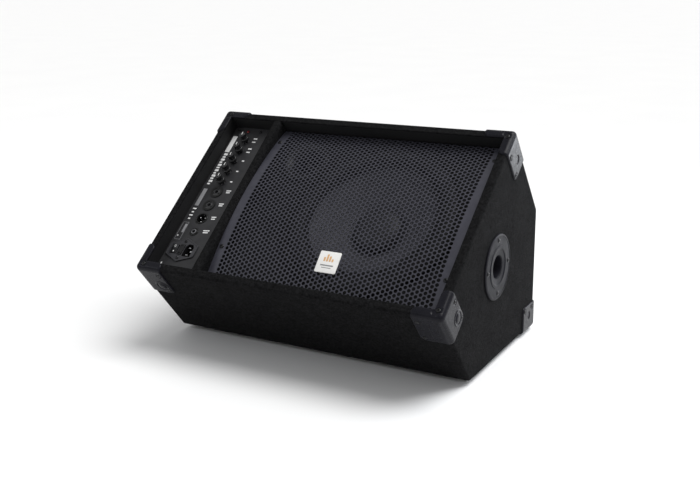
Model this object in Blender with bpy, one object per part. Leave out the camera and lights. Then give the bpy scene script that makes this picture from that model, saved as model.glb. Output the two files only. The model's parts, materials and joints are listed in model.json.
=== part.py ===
"""Powered stage monitor wedge: a five-sided plywood cabinet with its amplifier beside a two-way front.

Lengths are in metres, +Z is up, +X is to the right of someone who faces the grille, +Y is to the back.
"""

import math

import bmesh
import bpy
from mathutils import Matrix, Vector

# Clearance between pieces that touch.
GAP = 0.0003

# Cabinet outline, over the carpet.
WIDTH = 0.545
SLOPE = math.radians(39.0)
SLANT = 0.350
KICK = 0.174
TOP_DEPTH = 0.191
BOARD = 0.012
CARPET = 0.0022
RIM = BOARD + CARPET

# Front layout, measured from the left outer face and down from the rim.
BAY_WIDTH = 0.0893
DIVIDER = 0.018
PANEL_DEPTH = 0.025
PANEL_THICK = 0.0015
BAFFLE_DEPTH = 0.030
BAFFLE_THICK = 0.012

# Bowed grille and its badge.
GRILLE_EDGE_DEPTH = 0.022
GRILLE_CROWN_DEPTH = 0.004
GRILLE_THICK = 0.0012
GRILLE_END_GAP = 0.0033
GRILLE_MARGIN = 0.014
GRILLE_STEPS = 16
BADGE_WIDTH = 0.0365
BADGE_HEIGHT = 0.0365
BADGE_THICK = 0.0016
BADGE_X = 0.0565
BADGE_SLANT = 0.071

# Woofer.
WOOFER_X = 0.0835
WOOFER_SLANT = 0.175
WOOFER_RADIUS = 0.153
FRAME_LAP = 0.012
FRAME_FLANGE = 0.017
SEAT_SLOPE = 0.0025
GASKET_WIDTH = 0.013
ROLL_WIDTH = 0.0245
BASKET_SHEET = 0.0015
LEDGE_OUTER = 0.086
LEDGE_INNER = 0.076
LEDGE_DEPTH = 0.046
BASKET_DEPTH = 0.068
BASKET_BORE = 0.031
BASKET_STEP = 0.012
BASKET_WINDOWS = 6
WINDOW_WIDTH = 0.076
GASKET_THICK = 0.0033
SURROUND_SHEET = 0.0008
SURROUND_RISE = 0.007
SURROUND_OVERLAP = 0.0005
CONE_SHEET = 0.0012
CONE_LIP = 0.006
CONE_CURVE = 0.9
CONE_FLARE = 0.0004
NECK_DEPTH = 0.037
COIL_INNER = 0.0252
COIL_WALL = 0.0009
COIL_REACH = 0.082
CAP_RADIUS = 0.042
CAP_HEIGHT = 0.014
CAP_SHEET = 0.0008
MAGNET_RADIUS = 0.078
MAGNET_BORE = 0.033
MAGNET_THICK = 0.020
PLATE_RADIUS = 0.070
TOP_PLATE_RADIUS = 0.064
PLATE_THICK = 0.007
MAGNETIC_GAP = 0.0008
POLE_VENT = 0.008
SPIDER_RIPPLES = 7
SPIDER_RIPPLE = 0.0016

# Horn tweeter.
TWEETER_X = -0.0855
TWEETER_SLANT = 0.276
TWEETER_RADIUS = 0.042
TWEETER_CUTOUT = 0.038
HORN_MOUTH = 0.035
HORN_DEPTH = 0.030
HORN_THROAT = 0.013
HORN_WALL = 0.002
HORN_FLANGE = 0.003
HORN_LIP = 0.0005
DRIVER_RADIUS = 0.030
DRIVER_LENGTH = 0.030
DRIVER_CHAMFER = 0.006
PLUG_RADIUS = 0.006
PLUG_TIP = 0.006
PLUG_NOSE = 0.012
PLUG_TAPER = 0.022

# Amplifier panel.
COLUMN_INSET = 0.0353
KNOBS = 5
KNOB_INSET = 0.0315
KNOB_SPACE = 0.008
KNOB_SKIRT_RADIUS = 0.0076
KNOB_RADIUS = 0.0060
KNOB_HEIGHT = 0.0145
KNOB_SKIRT_HEIGHT = 0.0055
KNOB_LIFT = 0.0045
KNOB_EDGE = 0.001
KNOB_LINE = 0.0012
SHAFT_RADIUS = 0.0030
SHAFT_CLEARANCE = 0.0001
BUSH_WALL = 0.0008
POT_RADIUS = 0.0080
POT_HEIGHT = 0.0080
BOARD_SHEET = 0.0016
BOARD_MARGIN = 0.0005
BOARD_TO_SOCKET = 0.0009
SOCKET_SPACE = 0.0038
SOCKET_RADIUS = 0.0112
SOCKET_LENGTH = 0.024
SOCKET_NOSE = 0.0011
SOCKET_FLARE = 0.0014
SOCKET_FLOOR = 0.004
JACK_BORE = 0.0033
JACK_RADIUS = 0.0080
JACK_FLARE = 0.0010
JACK_RING = 0.0056
CONTACT_RADIUS = 0.0012
CONTACT_CIRCLE = 0.0062
CONTACT_DEPTH = 0.012
PIN_CIRCLE = 0.0056
PIN_ROOT = 0.001
XLR_BORE = 0.0092
XLR_WELL = 0.0135
LAMP_INSET_X = 0.0293
LAMP_INSET = 0.0100
LAMP_RADIUS = 0.0025
LAMP_HEIGHT = 0.002

# Mains unit: hexagonal flange with rocker switch, fuse drawer and inlet side by side.
MAINS_INSET = 0.0325
SOCKET_TO_MAINS = 0.0060
MAINS_WIDTH = 0.0570
MAINS_HEIGHT = 0.0480
MAINS_FLANGE = 0.0020
MAINS_BODY_WIDTH = 0.0480
MAINS_BODY_HEIGHT = 0.0275
MAINS_BODY_DEPTH = 0.0300
INLET_OFFSET = 0.0132
INLET_WIDTH = 0.0160
INLET_HEIGHT = 0.0240
INLET_WELL = 0.0180
INLET_PINS = ((0.0040, 0.0), (-0.0015, 0.0070), (-0.0015, -0.0070))
INLET_PIN_WIDTH = 0.0040
INLET_PIN_THICK = 0.0020
INLET_PIN_DROP = 0.003
DRAWER_OFFSET = -0.0010
DRAWER_WIDTH = 0.0080
DRAWER_HEIGHT = 0.0200
DRAWER_LENGTH = 0.0240
DRAWER_TAB = 0.0012
ROCKER_OFFSET = -0.0145
ROCKER_WIDTH = 0.0130
ROCKER_HEIGHT = 0.0190
ROCKER_WELL = 0.0140
ROCKER_BODY = 0.0075
ROCKER_TILT = math.radians(8.0)
ROCKER_DROP = 0.0015

# Amplifier tray and what it holds.
TRAY_INSET = 0.006
TRAY_DEPTH = 0.085
TRAY_WALL = 0.0012
TRANSFORMER_RADIUS = 0.034
TRANSFORMER_BORE = 0.012
TRANSFORMER_HEIGHT = 0.030
HEATSINK_WIDTH = 0.060
HEATSINK_LENGTH = 0.110
HEATSINK_HEIGHT = 0.028
HEATSINK_FINS = 6
FIN_THICK = 0.003
HEATSINK_WEB = 0.005
HEATSINK_INSET = 0.010
POWER_BOARD_SPARE = 0.050
STANDOFF = 0.006
TRANSFORMER_INSET = 0.008

# Pole socket on the right side, placed from the front bottom edge.
POLE_Y = 0.0992
POLE_Z = 0.1541
POLE_FLANGE_RADIUS = 0.0525
POLE_FLANGE_THICK = 0.0032
POLE_BORE = 0.0180
POLE_LENGTH = 0.075
POLE_WALL = 0.003
POLE_CONE = 0.0285

# Recessed carry handle on the rear.
HANDLE_X = 0.010
HANDLE_Z = 0.118
HANDLE_WIDTH = 0.150
HANDLE_HEIGHT = 0.092
HANDLE_CUP_WIDTH = 0.122
HANDLE_CUP_HEIGHT = 0.066
HANDLE_CUP_DEPTH = 0.044
HANDLE_WALL = 0.0025
HANDLE_FLANGE = 0.0020
GRIP_HEIGHT = 0.020
GRIP_DEPTH = 0.014

# Corner protectors and feet.
GUARD_WALL = 0.0026
GUARD_LEG = 0.048
GUARD_REACH = 0.064
GUARD_DOME = 0.0016
GUARD_DOME_RADIUS = 0.013
REAR_GUARD_LEG = 0.045
REAR_GUARD_REACH = 0.056
GUARD_CHAMFER = 0.008
GUARD_BOSS_SHARE = 0.6
GUARD_DIMPLE = 0.0012
GUARD_DIMPLE_RADIUS = 0.006
FOOT_HEIGHT = 0.007
FOOT_RADIUS = 0.015
FOOT_SCREW = 0.004
FOOT_RECESS = 0.002
FOOT_INSET_X = 0.058
FOOT_INSET_FRONT = 0.035
FOOT_INSET_REAR = 0.075

# Internal speaker leads.
LEAD_RADIUS = 0.0022
LEAD_HOLE = 0.005
LEAD_DEPTH = 0.085
LEAD_SAG = 0.012
LEAD_DROP = 0.015
LEAD_STANDOFF = 0.0042
LEAD_POINTS = 16

# Values that follow from the sizes above.
HALF = WIDTH / 2
SIN = math.sin(SLOPE)
COS = math.cos(SLOPE)
EDGE_KICK = Vector((-KICK * SIN, KICK * COS))
EDGE_PEAK = EDGE_KICK + SLANT * Vector((COS, SIN))
EDGE_REAR = EDGE_PEAK + TOP_DEPTH * Vector((SIN, -COS))
OUTLINE = [Vector((0, 0)), Vector((EDGE_REAR.x, 0)), EDGE_REAR, EDGE_PEAK, EDGE_KICK]
FRONT_SIDE = 3
BAY_LEFT = -HALF + RIM
DIVIDER_LEFT = BAY_LEFT + BAY_WIDTH
DIVIDER_RIGHT = DIVIDER_LEFT + DIVIDER
BAY_MIDDLE = (BAY_LEFT + DIVIDER_LEFT) / 2
BAY_LOW = RIM + GAP
BAY_HIGH = SLANT - RIM - GAP
WOOFER_CUTOUT = WOOFER_RADIUS - FRAME_LAP
SEAT_RADIUS = WOOFER_RADIUS - FRAME_FLANGE
SEAT_INNER = SEAT_RADIUS - SEAT_SLOPE
GASKET_INNER = WOOFER_RADIUS - GASKET_WIDTH
CONE_RADIUS = SEAT_RADIUS - ROLL_WIDTH
COLUMN_X = BAY_LEFT + COLUMN_INSET
KNOB_PITCH = 2 * POT_RADIUS + KNOB_SPACE
KNOB_SLANTS = [BAY_HIGH - KNOB_INSET - KNOB_PITCH * index for index in range(KNOBS)]
SOCKET_COLLAR = SOCKET_RADIUS + SOCKET_FLARE
SOCKET_PITCH = 2 * SOCKET_COLLAR + SOCKET_SPACE
SOCKET_TOP = KNOB_SLANTS[-1] - POT_RADIUS - BOARD_MARGIN - BOARD_TO_SOCKET - SOCKET_COLLAR
SOCKET_SLANTS = [SOCKET_TOP - SOCKET_PITCH * index for index in range(4)]
MAINS_X = BAY_LEFT + MAINS_INSET
MAINS_SLANT = SOCKET_SLANTS[-1] - JACK_RADIUS - JACK_FLARE - SOCKET_TO_MAINS - MAINS_HEIGHT / 2
LAMP_X = BAY_LEFT + LAMP_INSET_X
LAMP_SLANT = BAY_HIGH - LAMP_INSET
GUARD_TIP = GUARD_WALL * (COS + SIN)
SHIFT_X = -GUARD_DOME / 2
SHIFT_Y = -(EDGE_KICK.x - GUARD_TIP + EDGE_REAR.x + GUARD_WALL) / 2
ALONG_X = Matrix(((0, 0, 1, 0), (1, 0, 0, 0), (0, 1, 0, 0), (0, 0, 0, 1)))
SWAP_YZ = Matrix(((1, 0, 0, 0), (0, 0, 1, 0), (0, 1, 0, 0), (0, 0, 0, 1)))


def clear_scene():
    """Remove every object, so that the model starts from nothing."""
    for obj in list(bpy.data.objects):
        bpy.data.objects.remove(obj, do_unlink=True)


def finish(name, colour, roughness, metallic=0.0):
    """Return a Principled material."""
    made = bpy.data.materials.new(name)
    made.use_nodes = True
    shader = made.node_tree.nodes["Principled BSDF"]
    shader.inputs["Base Color"].default_value = (*colour, 1.0)
    shader.inputs["Roughness"].default_value = roughness
    shader.inputs["Metallic"].default_value = metallic
    return made


def frame(name, parent=None, location=(0, 0, 0), rotation=(0, 0, 0)):
    """Return an empty that holds a local frame."""
    empty = bpy.data.objects.new(name, None)
    bpy.context.scene.collection.objects.link(empty)
    empty.parent = parent
    empty.location = location
    empty.rotation_euler = rotation
    return empty


def place(name, mesh, look, parent, location=(0, 0, 0), rotation=(0, 0, 0)):
    """Return an object of the mesh, smooth where the surface is round."""
    obj = bpy.data.objects.new(name, mesh)
    bpy.context.scene.collection.objects.link(obj)
    obj.parent = parent
    obj.location = location
    obj.rotation_euler = rotation
    if look is not None and not mesh.materials:
        mesh.materials.append(look)
    mesh.shade_smooth()
    mesh.set_sharp_from_angle(angle=math.radians(35))
    return obj


def to_mesh(name, shape):
    """Turn a bmesh into mesh data with its faces pointing out."""
    bmesh.ops.recalc_face_normals(shape, faces=shape.faces)
    mesh = bpy.data.meshes.new(name)
    shape.to_mesh(mesh)
    shape.free()
    return mesh


def add_prism(shape, outline, low, high, matrix=None):
    """Add an outline extruded from low to high; the matrix turns its u, v, w into the local x, y, z."""
    corners = [shape.verts.new((point[0], point[1], low)) for point in outline]
    face = shape.faces.new(corners)
    made = bmesh.ops.extrude_face_region(shape, geom=[face])["geom"]
    raised = [item for item in made if isinstance(item, bmesh.types.BMVert)]
    bmesh.ops.translate(shape, verts=raised, vec=(0, 0, high - low))
    if matrix is not None:
        bmesh.ops.transform(shape, matrix=matrix, verts=corners + raised)
    return corners + raised


def add_box(shape, low, high):
    """Add a box between two corners."""
    outline = [(low[0], low[1]), (high[0], low[1]), (high[0], high[1]), (low[0], high[1])]
    return add_prism(shape, outline, low[2], high[2])


def add_turned(shape, profile, steps, centre=(0, 0, 0)):
    """Add a closed profile of (radius, height) points turned about the local z axis."""
    ring = [shape.verts.new((radius, 0, height)) for radius, height in profile]
    edges = [shape.edges.new((ring[i - 1], ring[i])) for i in range(len(ring))]
    on_axis = [edge for edge in edges if all(vert.co.x < 1e-7 for vert in edge.verts)]
    bmesh.ops.delete(shape, geom=on_axis, context="EDGES_FACES")
    ring = [vert for vert in ring if vert.is_valid]
    kept = [edge for edge in edges if edge.is_valid]
    known = set(shape.verts)
    bmesh.ops.spin(
        shape, geom=ring + kept, cent=(0, 0, 0), axis=(0, 0, 1), angle=math.tau, steps=steps, use_merge=True
    )
    turned = ring + [vert for vert in shape.verts if vert not in known]
    axis = [vert for vert in turned if vert.co.to_2d().length < 1e-7]
    bmesh.ops.translate(shape, verts=turned, vec=centre)
    bmesh.ops.remove_doubles(shape, verts=axis, dist=1e-6)


def prism(name, outline, low, high, look, parent, matrix=None, **where):
    """Return an object made of one extruded outline."""
    shape = bmesh.new()
    add_prism(shape, outline, low, high, matrix)
    return place(name, to_mesh(name, shape), look, parent, **where)


def box(name, low, high, look, parent, **where):
    """Return a box-shaped object between two corners."""
    shape = bmesh.new()
    add_box(shape, low, high)
    return place(name, to_mesh(name, shape), look, parent, **where)


def turned(name, profile, steps, look, parent, **where):
    """Return an object turned about its local z axis."""
    shape = bmesh.new()
    add_turned(shape, profile, steps)
    return place(name, to_mesh(name, shape), look, parent, **where)


def disc(radius, low, high):
    """Return the turned profile of a plain disc."""
    return [(0, low), (radius, low), (radius, high), (0, high)]


def ring(inner, outer, low, high):
    """Return the turned profile of a plain ring."""
    return [(inner, low), (outer, low), (outer, high), (inner, high)]


def helper(obj):
    """Mark an object as a tool that only shapes others."""
    obj.hide_render = True
    obj.display_type = "WIRE"
    return obj


def combine(target, tool, operation):
    """Cut the tool from the target or join it to the target."""
    modifier = target.modifiers.new(tool.name, "BOOLEAN")
    modifier.operation = operation
    modifier.solver = "EXACT"
    modifier.object = helper(tool)
    return target


def cut(target, tool):
    """Remove the tool's volume from the target."""
    return combine(target, tool, "DIFFERENCE")


def join(target, tool):
    """Add the tool's volume to the target."""
    return combine(target, tool, "UNION")


def baked(obj):
    """Return the finished mesh of an object and remove the object with its tools."""
    bpy.context.view_layer.update()
    graph = bpy.context.evaluated_depsgraph_get()
    mesh = bpy.data.meshes.new_from_object(obj.evaluated_get(graph))
    tools = [modifier.object for modifier in obj.modifiers]
    for used in [obj, *tools]:
        bpy.data.objects.remove(used, do_unlink=True)
    return mesh


def offset_outline(outline, distances):
    """Return a convex outline with each side moved inwards by its own distance."""
    count = len(outline)
    lines = []
    for index, distance in enumerate(distances):
        start = outline[index]
        along = (outline[(index + 1) % count] - start).normalized()
        inward = Vector((-along.y, along.x))
        lines.append((start + distance * inward, along))
    moved = []
    for index in range(count):
        (start, along), (other, across) = lines[index - 1], lines[index]
        step = (other - start).cross(across) / along.cross(across)
        moved.append(start + step * along)
    return moved


def on_front(slant, depth):
    """Return the cabinet's (y, z) of a point up the slope and below the rim plane."""
    return EDGE_KICK + slant * Vector((COS, SIN)) + depth * Vector((SIN, -COS))


def grille_depth(slant):
    """Return the depth of the bowed grille's outer face at a place up the slope."""
    half_chord = SLANT / 2 - RIM - GRILLE_END_GAP
    sagitta = GRILLE_EDGE_DEPTH - GRILLE_CROWN_DEPTH
    radius = (half_chord**2 + sagitta**2) / (2 * sagitta)
    return GRILLE_CROWN_DEPTH + radius - math.sqrt(radius**2 - (slant - SLANT / 2) ** 2)


def grille_arc(extra):
    """Return the (slant, height) points of the bow, sunk by an extra depth."""
    low = RIM + GRILLE_END_GAP
    high = SLANT - low
    places = [low + (high - low) * step / GRILLE_STEPS for step in range(GRILLE_STEPS + 1)]
    return [Vector((slant, -grille_depth(slant) - extra)) for slant in places]


def pole_cutter(name, x, cabinet):
    """Return a cutter for the hole that the pole socket passes through."""
    profile = disc(POLE_BORE + POLE_WALL + GAP, -BOARD, 2 * BOARD)
    return turned(
        name, profile, 32, None, cabinet, location=(x, POLE_Y, POLE_Z), rotation=(0, math.pi / 2, 0)
    )


def handle_block(name, clearance, cabinet):
    """Return a block that fills the handle's cup, grown by a clearance."""
    half_x = HANDLE_CUP_WIDTH / 2 + HANDLE_WALL + clearance
    half_z = HANDLE_CUP_HEIGHT / 2 + HANDLE_WALL + clearance
    low = (HANDLE_X - half_x, EDGE_REAR.x - HANDLE_CUP_DEPTH, HANDLE_Z - half_z)
    high = (HANDLE_X + half_x, EDGE_REAR.x + BOARD, HANDLE_Z + half_z)
    return box(name, low, high, None, cabinet)


def build_boards(cabinet, front):
    """Plywood cabinet: two sides, four mitred boards, the divider and the baffle."""
    ply = finish("plywood", (0.30, 0.20, 0.12), 0.7)
    wood = offset_outline(OUTLINE, [CARPET] * 5)
    inner = offset_outline(OUTLINE, [CARPET if side == FRONT_SIDE else RIM for side in range(5)])
    inside = HALF - CARPET - BOARD
    for name, low in (("side_left", -HALF + CARPET), ("side_right", inside)):
        side = prism(name, wood, low, low + BOARD, ply.copy(), cabinet, ALONG_X)
        if name == "side_right":
            cut(side, pole_cutter("pole_hole_cutter", inside, cabinet))
    names = {0: "bottom_board", 1: "rear_board", 2: "top_board", 4: "kick_board"}
    boards = {}
    for side, name in names.items():
        after = (side + 1) % 5
        quad = [wood[side], wood[after], inner[after], inner[side]]
        trims = [0, 0 if after == FRONT_SIDE else GAP / 2, 0, 0 if side == FRONT_SIDE + 1 else GAP / 2]
        board = offset_outline(quad, trims)
        boards[name] = prism(name, board, -inside + GAP, inside - GAP, ply.copy(), cabinet, ALONG_X)
    cut(boards["rear_board"], handle_block("handle_hole_cutter", GAP, cabinet))

    divider_outline = offset_outline(OUTLINE, [0 if side == FRONT_SIDE else RIM + GAP for side in range(5)])
    divider_look = finish("divider_carpet", (0.02, 0.02, 0.022), 0.95)
    divider = prism(
        "bay_divider", divider_outline, DIVIDER_LEFT, DIVIDER_RIGHT, divider_look, cabinet, ALONG_X
    )
    holes = bmesh.new()
    for slant in (WOOFER_SLANT, TWEETER_SLANT):
        add_turned(holes, disc(LEAD_HOLE, -DIVIDER, DIVIDER), 12, (LEAD_DEPTH, slant, 0))
    holes = place("lead_holes_cutter", to_mesh("lead_holes_cutter", holes), None, front)
    holes.location = ((DIVIDER_LEFT + DIVIDER_RIGHT) / 2, 0, 0)
    holes.rotation_euler = (0, math.pi / 2, 0)
    cut(divider, holes)

    baffle_look = finish("baffle_paint", (0.05, 0.05, 0.052), 0.8)
    top = -BAFFLE_DEPTH
    low = (DIVIDER_RIGHT + GAP, BAY_LOW, top - BAFFLE_THICK)
    high = (HALF - RIM - GAP, BAY_HIGH, top)
    baffle = box("baffle", low, high, baffle_look, front)
    openings = bmesh.new()
    for x, slant, radius, steps in (
        (WOOFER_X, WOOFER_SLANT, WOOFER_CUTOUT, 40),
        (TWEETER_X, TWEETER_SLANT, TWEETER_CUTOUT, 24),
    ):
        add_turned(openings, disc(radius, top - 2 * BAFFLE_THICK, top + BAFFLE_THICK), steps, (x, slant, 0))
    openings = place("baffle_cutter", to_mesh("baffle_cutter", openings), None, front)
    cut(baffle, openings)

    batten_look = finish("batten_paint", (0.02, 0.02, 0.02), 0.8)
    seat = [Vector((point.x, point.y)) for point in grille_arc(GRILLE_THICK + GAP)]
    base = -BAFFLE_DEPTH + GAP
    batten = [Vector((seat[0].x, base)), Vector((seat[-1].x, base)), *reversed(seat)]
    left = DIVIDER_RIGHT + GAP
    right = HALF - RIM - GAP
    for name, start in (("grille_batten_left", left), ("grille_batten_right", right - GRILLE_MARGIN)):
        prism(name, batten, start, start + GRILLE_MARGIN, batten_look.copy(), front, ALONG_X)


def side_carpet_mesh(name, side, sheet):
    """Return the carpet of one side: the five-sided face and the band over the rim's front edge."""
    ends = (RIM + GAP, SLANT - RIM - GAP)
    low, high = (on_front(slant, 0) for slant in ends)
    low_in, high_in = (on_front(slant, sheet) for slant in ends)
    around = [*OUTLINE[:4], high, low, OUTLINE[4]]
    shape = bmesh.new()

    def add_points(points, x):
        return [shape.verts.new((side * x, point.x, point.y)) for point in points]

    outer = add_points(around, HALF)
    inner = add_points(around, HALF - sheet)
    step = add_points((high_in, low_in), HALF - sheet)
    band = add_points((high, high_in, low_in, low), HALF - RIM)
    shape.faces.new(outer)
    shape.faces.new([*inner[:5], *step, *inner[5:]])
    for index in range(len(around)):
        shape.faces.new((outer[index - 1], outer[index], inner[index], inner[index - 1]))
    root = [inner[4], *step, inner[5]]
    for index in range(4):
        shape.faces.new((root[index - 1], root[index], band[index], band[index - 1]))
    shape.faces.new(band)
    return to_mesh(name, shape)


def build_carpet(cabinet):
    """Glued carpet: one strip round the boards and one sheet on each side, both turned over the rim."""
    look = finish("carpet", (0.018, 0.018, 0.02), 1.0)
    sheet = CARPET - GAP
    lining = offset_outline(OUTLINE, [sheet] * 5)
    strip = [
        OUTLINE[4],
        OUTLINE[0],
        OUTLINE[1],
        OUTLINE[2],
        OUTLINE[3],
        on_front(SLANT - RIM, 0),
        on_front(SLANT - RIM, sheet),
        lining[3],
        lining[2],
        lining[1],
        lining[0],
        lining[4],
        on_front(RIM, sheet),
        on_front(RIM, 0),
    ]
    wrap = prism("carpet_wrap", strip, -HALF + CARPET, HALF - CARPET, look, cabinet, ALONG_X)
    cut(wrap, handle_block("handle_carpet_cutter", GAP, cabinet))
    for name, side in (("carpet_left", -1), ("carpet_right", 1)):
        skin = place(name, side_carpet_mesh(name, side, sheet), look.copy(), cabinet)
        if side > 0:
            cut(skin, pole_cutter("pole_carpet_cutter", HALF, cabinet))


def guard_mesh(name, legs, lip, boss):
    """Return the mesh of a corner guard in its own frame.

    The cabinet fills x < 0, y < 0 and z < 0. The legs run along -x, -y and -z. A lip of the rim's width
    covers the +z side where the cabinet is open there, and a boss is raised on the +x side, or sunk below 0.
    """
    wall = GUARD_WALL
    along_x, along_y, reach = legs
    plan = [(wall, wall), (-along_x, wall), (-along_x, GAP), (GAP, GAP), (GAP, -along_y), (wall, -along_y)]
    body = prism(name, plan, -reach, (GAP + wall) / 2, None, None)
    inner = [(-lip, -lip)] if lip else []
    far = [(-along_x, -lip), *inner, (-lip, -along_y)] if lip else [(-along_x, -along_y)]
    cover = [(wall, wall), (-along_x, wall), *far, (wall, -along_y)]
    join(body, prism(name + "_cover", cover, GAP, wall, None, None))
    corner = GUARD_CHAMFER
    spill = wall
    clip = bmesh.new()
    for leg, turn in ((along_y, ALONG_X), (along_x, SWAP_YZ)):
        end = -leg - spill
        foot = -reach - spill
        triangle = [(end, foot), (end + corner + 2 * spill, foot), (end, foot + corner + 2 * spill)]
        add_prism(clip, triangle, GAP - spill, wall + spill, turn)
    cut(body, place(name + "_clip", to_mesh(name + "_clip", clip), None, None))
    middle = (wall, -along_y * GUARD_BOSS_SHARE, -reach * GUARD_BOSS_SHARE)
    turn = (0, math.pi / 2, 0)
    if boss > 0:
        profile = [(0, -wall / 2), (GUARD_DOME_RADIUS, -wall / 2), (GUARD_DOME_RADIUS, 0)]
        profile += [(GUARD_DOME_RADIUS - boss, boss), (0, boss)]
        join(body, turned(name + "_boss", profile, 20, None, None, location=middle, rotation=turn))
    else:
        profile = disc(GUARD_DIMPLE_RADIUS, boss, wall)
        cut(body, turned(name + "_dimple", profile, 16, None, None, location=middle, rotation=turn))
    return baked(body)


def mirrored(mesh, name):
    """Return a copy of the mesh reflected in y."""
    shape = bmesh.new()
    shape.from_mesh(mesh)
    bmesh.ops.transform(shape, matrix=Matrix.Diagonal((1, -1, 1, 1)), verts=shape.verts)
    return to_mesh(name, shape)


def build_guards(cabinet, front):
    """Corner guards at the three square corners of each side, and the rubber feet."""
    look = finish("guard_plastic", (0.05, 0.052, 0.06), 0.35)
    legs = (GUARD_LEG, GUARD_LEG, GUARD_REACH)
    upper = guard_mesh("guard_upper", legs, RIM, GUARD_DOME)
    lower = mirrored(upper, "guard_lower")
    rear_legs = (REAR_GUARD_LEG, REAR_GUARD_LEG, REAR_GUARD_REACH)
    rear = guard_mesh("guard_rear", rear_legs, 0, -GUARD_DIMPLE)
    quarter = math.pi / 2
    place("guard_top_right", upper, look.copy(), front, (HALF, SLANT, 0))
    place("guard_top_left", upper, look.copy(), front, (-HALF, SLANT, 0), (0, 0, quarter))
    place("guard_kick_right", lower, look.copy(), front, (HALF, 0, 0))
    place("guard_kick_left", lower, look.copy(), front, (-HALF, 0, 0), (0, 0, -quarter))
    heel = (EDGE_REAR.x, 0)
    place("guard_rear_right", rear, look.copy(), cabinet, (HALF, *heel), (-quarter, 0, 0))
    turn = Matrix(((0, -1, 0), (0, 0, 1), (-1, 0, 0))).to_euler()
    place("guard_rear_left", rear, look.copy(), cabinet, (-HALF, *heel), turn)

    rubber = finish("foot_rubber", (0.03, 0.03, 0.03), 0.85)
    draft = FOOT_RADIUS * 0.15
    profile = [(0, FOOT_RECESS), (FOOT_SCREW, FOOT_RECESS), (FOOT_SCREW, 0), (FOOT_RADIUS - draft, 0)]
    profile += [(FOOT_RADIUS, FOOT_HEIGHT), (0, FOOT_HEIGHT)]
    foot_x = HALF - FOOT_INSET_X
    ends = {"front": FOOT_INSET_FRONT, "rear": EDGE_REAR.x - FOOT_INSET_REAR}
    for end, y in ends.items():
        for side, x in (("left", -foot_x), ("right", foot_x)):
            where = (x, y, -FOOT_HEIGHT - GAP)
            turned(f"foot_{end}_{side}", profile, 16, rubber.copy(), cabinet, location=where)


def build_pole_socket(cabinet):
    """Top-hat socket on the right side for a stand's pole."""
    look = finish("socket_plastic", (0.06, 0.062, 0.07), 0.4)
    base = GAP
    face = GAP + POLE_FLANGE_THICK
    outer = POLE_BORE + POLE_WALL
    profile = [
        (0, -POLE_LENGTH),
        (outer, -POLE_LENGTH),
        (outer, base),
        (POLE_FLANGE_RADIUS, base),
        (POLE_FLANGE_RADIUS, face - POLE_FLANGE_THICK / 3),
        (POLE_FLANGE_RADIUS - POLE_FLANGE_THICK / 3, face),
        (POLE_CONE, face),
        (POLE_CONE - POLE_FLANGE_THICK / 2, face - POLE_FLANGE_THICK / 2),
        (POLE_BORE, face - POLE_FLANGE_THICK * 0.7),
        (POLE_BORE, -POLE_LENGTH + POLE_WALL),
        (0, -POLE_LENGTH + POLE_WALL),
    ]
    where = {"location": (HALF, POLE_Y, POLE_Z), "rotation": (0, math.pi / 2, 0)}
    turned("pole_socket", profile, 32, look, cabinet, **where)


def build_handle(cabinet):
    """Recessed handle on the rear: a flange, an open cup and a grip bar moulded across it."""
    look = finish("handle_plastic", (0.03, 0.03, 0.032), 0.5)
    rear = EDGE_REAR.x
    low = (HANDLE_X - HANDLE_WIDTH / 2, rear + GAP, HANDLE_Z - HANDLE_HEIGHT / 2)
    high = (HANDLE_X + HANDLE_WIDTH / 2, rear + GAP + HANDLE_FLANGE, HANDLE_Z + HANDLE_HEIGHT / 2)
    handle = box("carry_handle", low, high, look, cabinet)
    half_x = HANDLE_CUP_WIDTH / 2
    half_z = HANDLE_CUP_HEIGHT / 2
    wall = HANDLE_WALL
    low = (HANDLE_X - half_x - wall, rear - HANDLE_CUP_DEPTH + GAP, HANDLE_Z - half_z - wall)
    high = (HANDLE_X + half_x + wall, rear + GAP + HANDLE_FLANGE / 2, HANDLE_Z + half_z + wall)
    join(handle, box("handle_cup", low, high, None, cabinet))
    low = (HANDLE_X - half_x, rear - HANDLE_CUP_DEPTH + GAP + wall, HANDLE_Z - half_z)
    high = (HANDLE_X + half_x, rear + 2 * BOARD, HANDLE_Z + half_z)
    cut(handle, box("handle_hollow", low, high, None, cabinet))
    round_off = GRIP_DEPTH / 4
    half_grip = GRIP_HEIGHT / 2
    top = rear
    bottom = rear - GRIP_DEPTH
    section = [
        (bottom, HANDLE_Z - half_grip + round_off),
        (bottom + round_off, HANDLE_Z - half_grip),
        (top - round_off, HANDLE_Z - half_grip),
        (top, HANDLE_Z - half_grip + round_off),
        (top, HANDLE_Z + half_grip - round_off),
        (top - round_off, HANDLE_Z + half_grip),
        (bottom + round_off, HANDLE_Z + half_grip),
        (bottom, HANDLE_Z + half_grip - round_off),
    ]
    reach = half_x + wall / 2
    grip = prism("handle_grip", section, HANDLE_X - reach, HANDLE_X + reach, None, cabinet, ALONG_X)
    join(handle, grip)


def build_grille(front):
    """Bowed steel grille and the badge on it."""
    steel = finish("grille_paint", (0.06, 0.065, 0.075), 0.5, 0.3)
    outside = grille_arc(0)
    inside = grille_arc(GRILLE_THICK)
    section = [*inside, *reversed(outside)]
    low = DIVIDER_RIGHT + GAP
    prism("grille", section, low, HALF - RIM - GAP, steel, front, ALONG_X)
    white = finish("badge_white", (0.8, 0.8, 0.8), 0.4)
    ahead = 0.001
    lean = (grille_depth(BADGE_SLANT - ahead) - grille_depth(BADGE_SLANT + ahead)) / 2
    tilt = math.atan2(lean, ahead)
    half = BADGE_WIDTH / 2
    tall = BADGE_HEIGHT / 2
    seat = (BADGE_X, BADGE_SLANT, -grille_depth(BADGE_SLANT))
    low = (-half, -tall, GAP)
    high = (half, tall, GAP + BADGE_THICK)
    box("badge", low, high, white, front, location=seat, rotation=(tilt, 0, 0))


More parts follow.
